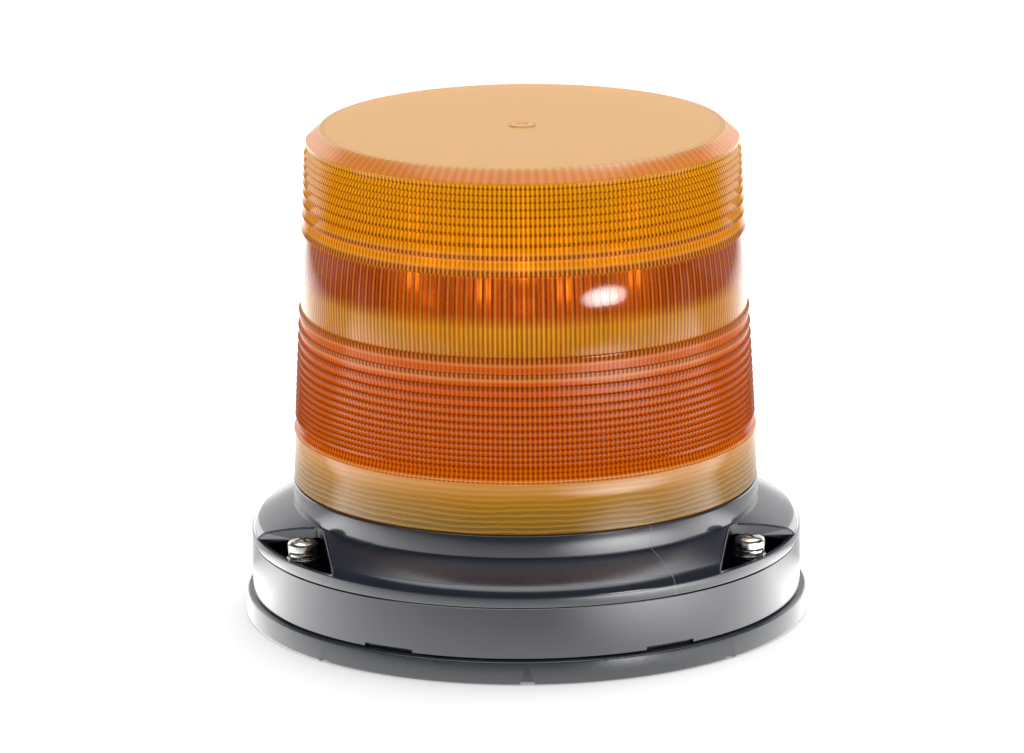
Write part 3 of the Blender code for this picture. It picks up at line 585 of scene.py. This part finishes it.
def block(name, size, low=0.0):
    form = bmesh.new()
    bmesh.ops.create_cube(form, size=1.0)
    bmesh.ops.scale(form, verts=form.verts, vec=Vector(size))
    bmesh.ops.translate(form, verts=form.verts, vec=Vector((0, 0, size[2] / 2 + low)))
    return addForm(name, form)


def prism(name, sides, low, high):
    form = bmesh.new()
    face = form.faces.new([form.verts.new((x, y, low)) for x, y in sides])
    grown = bmesh.ops.extrude_face_region(form, geom=[face])
    raised = [item for item in grown["geom"] if isinstance(item, bmesh.types.BMVert)]
    bmesh.ops.translate(form, verts=raised, vec=Vector((0, 0, high - low)))
    bmesh.ops.recalc_face_normals(form, faces=form.faces)
    return addForm(name, form)


def tube(name, path, radius, sides=3):
    curve = bpy.data.curves.new(name, "CURVE")
    curve.dimensions = "3D"
    curve.bevel_depth = radius
    curve.bevel_resolution = sides
    curve.use_fill_caps = True
    spline = curve.splines.new("POLY")
    spline.points.add(len(path) - 1)
    for point, place in zip(spline.points, path):
        point.co = (*place, 1.0)
    line = addObject(f"{name}_line", curve)
    made = addObject(name, finalMesh(line))
    bpy.data.objects.remove(line, do_unlink=True)
    faceOutwards(made.data, 60)
    return made


def outwards(azimuth, radius, height=0.0):
    return Matrix.Rotation(azimuth, 4, "Z") @ Matrix.Translation((0, -radius, height))


def around(master, azimuths, radius, height=0.0):
    copies = []
    for azimuth in azimuths:
        copy = addObject(f"{master.name}_copy", master.data.copy())
        copy.data.transform(outwards(azimuth, radius, height))
        copies.append(copy)
    bpy.data.objects.remove(master, do_unlink=True)
    return copies


def rods(radius, low, high, azimuths, circle):
    return around(cylinder("rod", radius, low, high), azimuths, circle)


def ringOf(count, first=0.0):
    return [first + math.tau * i / count for i in range(count)]


screwAzimuths = ringOf(3, math.radians(60))
frontAzimuths = ringOf(3)

# Camera, fitted to the photo's ellipses
view = {"distance": 1.9715, "height": 0.58286, "pitch": 14.434, "yaw": 0.118, "roll": 0.56, "lens": 224.3}
camera = addObject("camera", bpy.data.cameras.new("camera"))
camera.data.lens = view["lens"]
camera.data.sensor_width = 36
camera.data.clip_end = 20
camera.matrix_world = (
    Matrix.Translation((0, -view["distance"], view["height"]))
    @ Matrix.Rotation(math.radians(view["yaw"]), 4, "Z")
    @ Matrix.Rotation(math.radians(90 - view["pitch"]), 4, "X")
    @ Matrix.Rotation(math.radians(-view["roll"]), 4, "Z"))
scene.camera = camera


# Lens
def makeLens():
    size = {"rimRadius": 0.0740, "shoulderRadius": 0.0686, "crownRadius": 0.0641, "height": 0.1137,
            "crownHeight": 0.0036, "wall": 0.0030, "skirtHeight": 0.0168, "boreRadius": 0.0711, "lip": 0.0006,
            "ringDepth": 0.0008, "riserAbove": 0.00045, "riserBelow": 0.00022, "ringsBelow": 15, "ringsAbove": 10,
            "coarseRings": 5, "facetBow": 0.06, "bandSteps": 12, "fluteDepth": 0.0007, "ribs": 74,
            "ribDepth": 0.0004, "columnsPerFlute": 4, "edge": 0.0004, "nose": 0.0001, "pipRadius": 0.0044,
            "pipHeight": 0.0004, "dimpleRadius": 0.0018, "dimpleDepth": 0.0003, "pitch": 0.0038,
            "threadDepth": 0.0012, "threadStep": 0.00048, "discShares": (0.35, 0.7, 0.97),
            "skirtShares": (0.34, 0.67), "boreShares": (0.0, 0.33, 0.67, 1.0), "ceilingShares": (0.12, 0.3, 0.6, 0.9)}
    edge, wall, lip, nose, depth = (size[name] for name in ("edge", "wall", "lip", "nose", "ringDepth"))
    rim, bore, crown = (size[name] for name in ("rimRadius", "boreRadius", "crownRadius"))
    top, skirt, dimple = size["height"], size["skirtHeight"], size["dimpleDepth"]
    shoulder = top - size["crownHeight"]
    pipTop = top + size["pipHeight"]

    def line(height):
        return rim + (size["shoulderRadius"] - rim) * height / shoulder

    def distance(count):
        return ringPitch * math.sqrt(count)

    def rings(direction, count, riser):
        points = []
        for number in range(1, count):
            ridge = opticRise + direction * (distance(number) + riser)
            root = opticRise + direction * distance(number + 1)
            blunt = min(nose, abs(root - ridge) / 8)
            points.append((line(ridge) + depth / 2 - blunt / 3, ridge - direction * blunt / 3))
            points += bowed((line(ridge) + depth / 2, ridge + direction * blunt / 2), (line(root) - depth / 2, root),
                            depth * size["facetBow"] * direction, 2 if number < size["coarseRings"] else 1)
        return points

    outline = [(0, pipTop - dimple), (size["dimpleRadius"], pipTop - dimple), (size["dimpleRadius"] + dimple, pipTop),
               (size["pipRadius"], pipTop), (size["pipRadius"] + size["pipHeight"], top)]
    outline += between((0, top), (crown, top), size["discShares"])
    outline += [(crown, top - edge / 4), (size["shoulderRadius"] - edge / 2, shoulder + edge / 2),
                (size["shoulderRadius"], shoulder - edge / 2)]
    outline += reversed(rings(1, size["ringsAbove"], size["riserAbove"]))
    for step in range(size["bandSteps"] + 1):
        share = 1 - 2 * step / size["bandSteps"]
        height = opticRise + ringPitch * share
        outline.append((line(height) + depth * (0.5 - share * share), height))
    outline += rings(-1, size["ringsBelow"], size["riserBelow"])
    outline += arc((line(skirt), skirt - lip / 2), lip, 70, -70, 4)
    outline += [(line(skirt - lip * 2), skirt - lip * 2)]
    outline += between((line(skirt), skirt), (rim, 0), size["skirtShares"])
    outline += [(rim, edge), (rim - edge, 0), (bore + edge, 0), (bore, edge)]
    boreTop = skirt + size["riserBelow"]
    outline += threadRun(bore, edge * 5, boreTop - edge * 4, size["threadStep"])
    low = (line(boreTop) - wall, boreTop + overrun)
    boreHigh = shoulder - wall / 2
    high = (line(boreHigh) - wall, boreHigh)
    outline += [(bore, boreTop - edge), (low[0] + size["fluteDepth"], boreTop)]
    outline += between(low, high, size["boreShares"], flute=1.0)
    ceiling = (crown - wall / 2, top - wall)
    outline += between(high, ceiling, size["ceilingShares"], rib=1.0)
    outline += [ceiling, (ceiling[0] / 2, ceiling[1]), (0, ceiling[1])]
    outline = [(point[0], point[1] + lensLow, *point[2:]) for point in outline]
    lens = turned("amberLens", outline, flutes * size["columnsPerFlute"], Flutes=flutes,
                  Flute_Depth=size["fluteDepth"], Ribs=size["ribs"], Rib_Depth=size["ribDepth"], Pitch=size["pitch"],
                  Thread_Depth=-size["threadDepth"])
    dress(lens, "amber")
    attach(lens, "lens")
    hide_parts("lens")
    return lens


lens = makeLens()
print("lens made:", len(lens.data.polygons), "faces")


# Top cover
def makeCover():
    size = {"radius": 0.0878, "wall": 0.0030, "lipHeight": 0.0037, "shoulderRise": 0.0031, "shoulderBow": 0.00036,
            "shoulderSteps": 10, "neckInset": 0.0029, "neckBow": 0.0002, "neckSteps": 8, "neckHeight": 0.0051,
            "collarRadius": 0.0743, "collarHeight": 0.0072, "collarEdge": 0.0004, "deckHeight": 0.0032,
            "spigotRadius": 0.0692, "spigotWall": 0.0028, "spigotHeight": 0.0165, "grooveInner": 0.0706,
            "grooveOuter": 0.0730, "grooveDepth": 0.0014, "pocketHalfWidth": 0.0231, "pocketApex": 0.0740,
            "pocketLip": 0.0014, "pocketSteps": 24, "beadRadius": 0.00033, "postRadius": 0.0040,
            "postCircle": 0.0769, "pilotRadius": 0.0018, "pilotDepth": 0.0060, "pitch": 0.0038,
            "threadDepth": 0.0011, "threadStep": 0.0006, "columns": 240}
    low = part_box("top_cover")[0][2]
    lipTop = coverLow + size["lipHeight"]
    neckBottom = lipTop + size["shoulderRise"]
    neckTop = neckBottom + size["neckHeight"]
    collarTop = neckTop + size["collarHeight"]
    deckBottom = collarTop - size["deckHeight"]
    spigotTop = collarTop + size["spigotHeight"]
    spigotBore = size["spigotRadius"] - size["spigotWall"]
    edge, wall, radius = size["collarEdge"], size["wall"], size["radius"]
    inner = radius - wall
    outline = [(spigotBore, spigotTop - edge), (spigotBore + edge, spigotTop), (size["spigotRadius"] - edge, spigotTop)]
    outline += threadRun(size["spigotRadius"], spigotTop - edge * 2, collarTop + edge * 4, size["threadStep"])
    outline += [(size["spigotRadius"], collarTop + edge), (size["spigotRadius"] + edge, collarTop),
                (size["grooveInner"], collarTop), (size["grooveInner"], collarTop - size["grooveDepth"]),
                (size["grooveOuter"], collarTop - size["grooveDepth"]), (size["grooveOuter"], collarTop)]
    collarRadius = size["collarRadius"]
    outline += arc((collarRadius - edge, collarTop - edge), edge, 90, 0, 4)
    outline += arc((collarRadius - edge, neckTop + edge), edge, 0, -60, 4)
    neckStart = (collarRadius - edge / 2, neckTop)
    neckEnd = (radius - size["neckInset"], neckBottom)
    neck = bowed(neckStart, neckEnd, size["neckBow"], size["neckSteps"])
    neck += bowed(neckEnd, (radius - edge / 4, lipTop), size["shoulderBow"], size["shoulderSteps"])[1:]
    outline += neck
    outline += [(radius, lipTop - edge), (radius, coverLow + edge), (radius - edge / 2, coverLow), (inner, coverLow),
                (inner, lipTop - edge), (neckEnd[0] - wall / 2, neckEnd[1] - wall),
                (collarRadius - wall, neckTop - wall / 2), (collarRadius - wall, deckBottom), (spigotBore, deckBottom)]
    cover = turned("blackTopCover", outline, size["columns"], closed=True, Pitch=size["pitch"],
                   Thread_Depth=size["threadDepth"], Thread_Turn=0.5)
    circle = size["postCircle"]
    combine(cover, rods(size["postRadius"], low, neckBottom + wall / 2, frontAzimuths, circle), "UNION")
    pilots = rods(size["pilotRadius"], low - overrun, low + size["pilotDepth"], frontAzimuths, circle)
    lipRadius = radius - size["pocketLip"]
    halfAngle = math.asin(size["pocketHalfWidth"] / lipRadius)
    cornerY = lipRadius * math.cos(halfAngle)
    innerY = collarRadius + edge
    innerX = size["pocketHalfWidth"] * (innerY - size["pocketApex"]) / (cornerY - size["pocketApex"])
    sides = [(innerX, -innerY), (-innerX, -innerY)]
    for step in range(size["pocketSteps"] + 1):
        angle = halfAngle * (2 * step / size["pocketSteps"] - 1)
        sides.append((lipRadius * math.sin(angle), -lipRadius * math.cos(angle)))
    pocket = prism("pocket", sides, coverLow - overrun, neckTop + edge / 2)
    outerY = radius + overrun
    outerX = innerX * (outerY - size["pocketApex"]) / (innerY - size["pocketApex"])
    mouth = prism("mouth", [*sides[:2], (-outerX, -outerY), (outerX, -outerY)], lipTop, neckTop + edge / 2)
    combine(cover, [*pilots, *around(pocket, screwAzimuths, 0.0)], "DIFFERENCE")
    combine(cover, around(mouth, screwAzimuths, 0.0), "DIFFERENCE")
    dress(cover, "black_plastic")
    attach(cover, "base")
    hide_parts("top_cover")

    # A rounded arris where each pocket's side cuts the neck: the way out along the side at each radius of the neck
    inward = (innerX, innerY)
    slope = ((size["pocketHalfWidth"] - innerX) / size["pocketHalfWidth"], (cornerY - innerY) / size["pocketHalfWidth"])
    steep = slope[0] ** 2 + slope[1] ** 2
    along = inward[0] * slope[0] + inward[1] * slope[1]
    nearest = math.hypot(*inward)
    for azimuth in screwAzimuths:
        for side in (-1, 1):
            path = []
            for reach, height in neck:
                if reach >= nearest:
                    way = (math.sqrt(along ** 2 + steep * (reach ** 2 - nearest ** 2)) - along) / steep
                    path.append(((inward[0] + way * slope[0]) * side, -(inward[1] + way * slope[1]), height))
            bead = tube("pocketArris", path, size["beadRadius"])
            bead.data.transform(Matrix.Rotation(azimuth, 4, "Z"))
            dress(bead, "black_plastic")
            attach(bead, "base")


# Base housing
def makeBase():
    size = {"radius": 0.0878, "wall": 0.0030, "height": 0.0163, "edge": 0.0004, "floor": 0.0030,
            "innerWallRadius": 0.0690, "innerWall": 0.0030, "inletRadius": 0.0095, "screwCircle": 0.0812,
            "screwHole": 0.0029, "bossRadius": 0.0058, "bossNeck": 0.0043, "bossRise": 0.0027,
            "slots": 6, "slotAzimuth": math.radians(30.5), "slotWidth": 0.0170, "slotHeight": 0.0014,
            "slotDepth": 0.0020, "ribs": 6, "ribWidth": 0.0018, "ribHeight": 0.0020, "ribStart": 0.0140,
            "ribEnd": 0.0605, "boardPostCircle": 0.0420, "boardPostHeight": 0.0075, "platePostCircle": 0.0590,
            "postRadius": 0.0040, "pilotRadius": 0.0018, "pilotDepth": 0.0070, "coverCircle": 0.0769,
            "coverBore": 0.0031, "coverSeat": 0.0021, "grommetDrop": 0.0023, "columns": 240}
    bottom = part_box("cable_grommet")[0][2] + size["grommetDrop"]
    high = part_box("base_housing")[1][2]
    floorTop = bottom + size["floor"]
    top = bottom + size["height"]
    wallBore = size["innerWallRadius"] - size["innerWall"]
    inner = size["radius"] - size["wall"]
    edge = size["edge"]
    outline = [(size["radius"] - edge / 2, top), (size["radius"], top - edge / 2), (size["radius"], bottom + edge),
               (size["radius"] - edge, bottom), (size["inletRadius"], bottom), (size["inletRadius"], floorTop),
               (wallBore, floorTop), (wallBore, high), (size["innerWallRadius"], high),
               (size["innerWallRadius"], floorTop), (inner, floorTop), (inner, top)]
    base = turned("blackBaseHousing", outline, size["columns"], closed=True)
    bossTop = top + size["bossRise"]
    shoulderTop = top - (size["bossRadius"] - size["bossNeck"])
    boss = turned("boss", [(0, bossTop), (size["bossNeck"] - edge, bossTop), (size["bossNeck"], bossTop - edge),
                           (size["bossNeck"], top), (size["bossRadius"], shoulderTop),
                           (size["bossRadius"], floorTop - overrun), (0, floorTop - overrun)], 40)
    rib = block("rib", (size["ribWidth"], size["ribEnd"] - size["ribStart"], size["ribHeight"] + overrun),
                bottom - size["ribHeight"])
    postTop = floorTop + size["boardPostHeight"]
    post, pilot, depth = size["postRadius"], size["pilotRadius"], size["pilotDepth"]
    combine(base, [
        *around(boss, screwAzimuths, size["screwCircle"]),
        *around(rib, ringOf(size["ribs"]), (size["ribStart"] + size["ribEnd"]) / 2),
        *rods(post, floorTop - overrun, postTop, frontAzimuths, size["boardPostCircle"]),
        *rods(post, floorTop - overrun, high, screwAzimuths, size["platePostCircle"])], "UNION")
    slot = block("slot", (size["slotWidth"], size["slotDepth"] + overrun, size["slotHeight"] + overrun),
                 bottom - overrun)
    combine(base, [
        *rods(size["screwHole"], bottom - overrun, bossTop + overrun, screwAzimuths, size["screwCircle"]),
        *rods(pilot, postTop - depth, postTop + overrun, frontAzimuths, size["boardPostCircle"]),
        *rods(pilot, high - depth, high + overrun, screwAzimuths, size["platePostCircle"]),
        *rods(size["coverBore"], bottom - overrun, bottom + size["coverSeat"], frontAzimuths, size["coverCircle"]),
        *around(slot, ringOf(size["slots"], size["slotAzimuth"]),
                size["radius"] - size["slotDepth"] / 2 + overrun / 2)], "DIFFERENCE")
    combine(base, rods(pilot, bottom - overrun, floorTop + overrun, frontAzimuths, size["coverCircle"]), "DIFFERENCE")
    dress(base, "black_plastic")
    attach(base, "base")
    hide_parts("base_housing")


# Mounting gasket
def makeGasket():
    size = {"radius": 0.0900, "draft": 0.00045, "height": 0.0074, "innerRadius": 0.0620, "edge": 0.0006, "foot": 0.0010,
            "drains": 8, "drainWidth": 0.0045, "drainHeight": 0.0012, "drainDepth": 0.0050,
            "screwCircle": 0.0812, "screwHole": 0.0029, "columns": 240}
    edge = size["edge"]
    topRadius = size["radius"] - size["draft"]
    outline = arc((topRadius - edge, size["height"] - edge), edge, 90, 5, 4)
    outline += arc((size["radius"] - size["foot"], size["foot"]), size["foot"], 0, -90, 6)
    outline += [(size["innerRadius"] + edge / 3, 0),
                (size["innerRadius"], edge / 3), (size["innerRadius"], size["height"] - edge / 3),
                (size["innerRadius"] + edge / 3, size["height"])]
    gasket = turned("rubberGasket", outline, size["columns"], closed=True)
    drain = block("drain", (size["drainWidth"], size["drainDepth"] + overrun, size["drainHeight"] + overrun), -overrun)
    bevel = drain.modifiers.new("bevel", "BEVEL")
    bevel.width = size["drainHeight"] / 3
    bevel.segments = 3
    keepMesh(drain)
    combine(gasket, [
        *rods(size["screwHole"], -overrun, size["height"] + overrun, screwAzimuths, size["screwCircle"]),
        *around(drain, ringOf(size["drains"]), size["radius"] - size["drainDepth"] / 2 + overrun / 2)], "DIFFERENCE")
    dress(gasket, "rubber")
    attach(gasket, "base")
    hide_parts("mounting_gasket")


makeGasket()
makeBase()
makeCover()
print("base, cover and gasket made")


# Mounting screws and washers
def makeScrews():
    size = {"circle": 0.0812, "headRadius": 0.00475, "headHeight": 0.0037, "corner": 0.0012, "cornerRun": 0.0009,
            "cornerBow": 0.000264, "dome": 0.0005, "shank": 0.0025, "plainShank": 0.0020, "threads": 20,
            "pitch": 0.0008, "threadDepth": 0.00036, "recessWidth": 0.0011, "recessReach": 0.0027,
            "recessDepth": 0.0018, "lockRadius": 0.0046, "splitWidth": 0.0009, "flatRadius": 0.0051,
            "bore": 0.0027, "edge": 0.00025, "firstTurn": 0.5, "columns": 64}
    edge, pitch, shank = size["edge"], size["pitch"], size["shank"]
    for side, azimuth in zip(("right", "rear", "left"), screwAzimuths):
        low, high = (corner[2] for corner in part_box(f"mounting_screw_{side}"))
        seat = high - size["headHeight"]
        shoulder = (size["headRadius"] - size["cornerRun"], high - size["dome"])
        outline = bowed((0, high), shoulder, size["dome"] / 4, 5)
        outline += bowed(shoulder, (size["headRadius"], shoulder[1] - size["corner"]), size["cornerBow"], 5)[1:]
        outline += [(size["headRadius"], seat + edge), (size["headRadius"] - edge, seat), (shank + edge, seat),
                    (shank, seat - edge)]
        for turn in range(size["threads"]):
            root = seat - size["plainShank"] - pitch * turn
            outline += [(shank - size["threadDepth"], root), (shank, root - pitch / 2)]
        outline += [(shank - size["threadDepth"], low + edge), (shank - pitch, low), (0, low)]
        screw = turned(f"panScrew_{side}", outline, size["columns"])
        reach, width = 2 * size["recessReach"], size["recessWidth"]
        bars = [block("bar", (*across, size["recessDepth"] + overrun), high - size["recessDepth"])
                for across in ((width, reach), (reach, width))]
        combine(screw, bars, "DIFFERENCE")
        twist = Matrix.Rotation(size["firstTurn"] + azimuth * 2, 4, "Z")
        screw.data.transform(outwards(azimuth, size["circle"]) @ twist)
        finishScrewPiece(screw, f"mounting_screw_{side}")

        for node, name in (("lock_washer", "splitWasher"), ("flat_washer", "flatWasher")):
            low, high = (corner[2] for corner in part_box(f"{node}_{side}"))
            radius = size["lockRadius"] if node == "lock_washer" else size["flatRadius"]
            washer = turned(f"{name}_{side}", washerOutline(size["bore"], radius, low, high, edge),
                            size["columns"], closed=True)
            if node == "lock_washer":
                split = block("split", (size["splitWidth"], radius + overrun, high - low + 2 * overrun), low - overrun)
                split.data.transform(Matrix.Translation((0, -radius / 2, 0)))
                combine(washer, [split], "DIFFERENCE")
            washer.data.transform(outwards(azimuth, size["circle"]))
            finishScrewPiece(washer, f"{node}_{side}")


def washerOutline(bore, radius, low, high, edge):
    outline = [(bore, high), *arc((radius - edge, high - edge), edge, 90, 0, 3)]
    return outline + [*arc((radius - edge, low + edge), edge, 0, -90, 3), (bore, low)]


def finishScrewPiece(piece, node):
    dress(piece, "steel")
    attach(piece, "base")
    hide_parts(node)


makeScrews()
print("screws made")


# The CAD's own pieces that keep their shape get their finishes
def dressKeptNodes():
    for part in frame["record"]["subparts"]:
        node = frame["nodes"][part["node"]]
        node.data.materials.clear()
        node.data.materials.append(finishes[part["material_slot"]])


dressKeptNodes()


# Studio: a white table and background for the camera, and for mirrored rays the room that the plastic shows:
# dark before the table, bright behind it and overhead, with a window's soft card at the right
def freshMaterial(name):
    material = bpy.data.materials.new(name)
    material.use_nodes = True
    return material, Maker(material.node_tree)


def addSheet(name, corners):
    sheet = bpy.data.meshes.new(name)
    sheet.from_pydata(corners, [], [(0, 1, 2, 3)])
    return addObject(name, sheet)


# What the table's mirror shows along Y: its strength at both ends of the near span, and what each zone adds to it
def makeTable():
    look = {"size": 8.0, "paint": 0.9, "paper": 0.25, "near": (-0.34, -0.15, 0.08, 1.15),
            "zones": ((-0.15, 0.02, 2.3), (0.0, 0.05, -2.7), (0.15, 0.4, 2.0)), "sides": (0.25, 0.6, 1.0, 0.1),
            "patchPlace": (0.154, -0.184, 0), "patchRadius": 0.14, "patchGlow": 6.6}
    half = look["size"] / 2
    table = addSheet("table", [(-half, -half, 0), (half, -half, 0), (half, half, 0), (-half, half, 0)])
    material, maker = freshMaterial("whiteTable")
    path = maker.add("ShaderNodeLightPath")
    place = maker.add("ShaderNodeTexCoord").output("Object")
    x, y, _ = maker.axes(place)
    shine = maker.spread(y, *look["near"])
    for near, far, rise in look["zones"]:
        shine = shine + maker.spread(y, near, far, 0.0, rise)
    shine = shine * maker.spread(x.size(), *look["sides"])
    away = maker.add("ShaderNodeVectorMath", {"operation": "DISTANCE"}, [place, look["patchPlace"]], "Value")
    patch = maker.add("ShaderNodeMapRange", {"interpolation_type": "SMOOTHSTEP"}, [
        away, 0.0, look["patchRadius"], look["patchGlow"], 0.0])
    paint = maker.add("ShaderNodeBsdfDiffuse", None, {"Color": grey(look["paint"])})
    paper = maker.add("ShaderNodeAddShader", None, [paint, maker.glow(look["paper"])])
    seen = path.output("Is Camera Ray") + path.output("Is Transmission Ray")
    surface = maker.add("ShaderNodeMixShader", None, [seen, paint, paper])
    surface = maker.add("ShaderNodeMixShader", None, [maker.mirrored(path), surface, maker.glow(shine + patch)])
    maker.add("ShaderNodeOutputMaterial", None, {"Surface": surface})
    table.data.materials.append(material)


# The room's wall by azimuth from the front, and its ceiling by the upward part of the direction
def makeWorld():
    look = {"diffuse": 0.85, "dark": 0.05, "backStart": 121, "backFull": 136, "backEnd": 178, "backGlow": 2.6,
            "backMiddle": 0.75, "backRise": (0.40, 0.52, 1.0, 0.0), "cap": (0.80, 0.88, 0.0, 2.2)}
    world = bpy.data.worlds.new("studio")
    world.use_nodes = True
    scene.world = world
    maker = Maker(world.node_tree)
    path = maker.add("ShaderNodeLightPath")
    x, y, z = maker.axes(maker.add("ShaderNodeTexCoord").output("Generated"))
    azimuth = x.angleFrom(y * -1.0).size() * (180 / math.pi)
    back = maker.spread(azimuth, look["backStart"], look["backFull"], look["dark"], look["backGlow"])
    fall = maker.spread(azimuth, look["backFull"], look["backEnd"], 0.0, look["backGlow"] - look["backMiddle"])
    wall = (back - fall) * maker.spread(z, *look["backRise"])
    room = wall.atLeast(look["dark"]).atLeast(maker.spread(z, *look["cap"]))
    strength = 1.0 - maker.mirrored(path) * (1.0 - room) - path.output("Is Diffuse Ray") * (1.0 - look["diffuse"])
    background = maker.add("ShaderNodeBackground", None, {"Color": grey(1.0), "Strength": strength})
    maker.add("ShaderNodeOutputWorld", None, {"Surface": background})


def makeCard():
    look = {"azimuth": math.radians(40), "distance": 1.2, "width": 0.56, "rise": 0.17, "height": 0.065, "glow": 20.0}
    wide, high = look["width"] / 2, look["rise"] / 2
    card = addSheet("softCard", [(-wide, 0, -high), (wide, 0, -high), (wide, 0, high), (-wide, 0, high)])
    card.matrix_world = outwards(look["azimuth"], look["distance"], look["height"])
    material, maker = freshMaterial("softCard")
    path = maker.add("ShaderNodeLightPath")
    x, _, z = maker.axes(maker.add("ShaderNodeTexCoord").output("Object"))
    across, up = x / wide, z / high
    soft = (1.0 - across * across - up * up).atLeast(0.0)
    clear = maker.add("ShaderNodeBsdfTransparent")
    maker.add("ShaderNodeOutputMaterial", None, {"Surface": maker.add("ShaderNodeMixShader", None, [
        maker.mirrored(path) * soft.above(0.0), clear, maker.glow(soft * look["glow"])])})
    card.data.materials.append(material)
    card.visible_camera = False
    card.visible_diffuse = False
    card.visible_shadow = False


def makeLamp():
    look = {"azimuth": math.radians(160), "elevation": math.radians(68), "distance": 1.3, "width": 1.2, "depth": 0.8,
            "power": 9, "target": (0, 0, 0.08)}
    lamp = addObject("topSoftbox", bpy.data.lights.new("topSoftbox", "AREA"))
    lamp.data.shape = "RECTANGLE"
    lamp.data.size = look["width"]
    lamp.data.size_y = look["depth"]
    lamp.data.energy = look["power"]
    level = math.cos(look["elevation"])
    away = Vector((math.sin(look["azimuth"]) * level, -math.cos(look["azimuth"]) * level, math.sin(look["elevation"])))
    lamp.matrix_world = (Matrix.Translation(Vector(look["target"]) + away * look["distance"])
                         @ away.to_track_quat("Z", "Y").to_matrix().to_4x4())


makeTable()
makeWorld()
makeCard()
makeLamp()
print("studio made")

scene.view_settings.view_transform = "Standard"
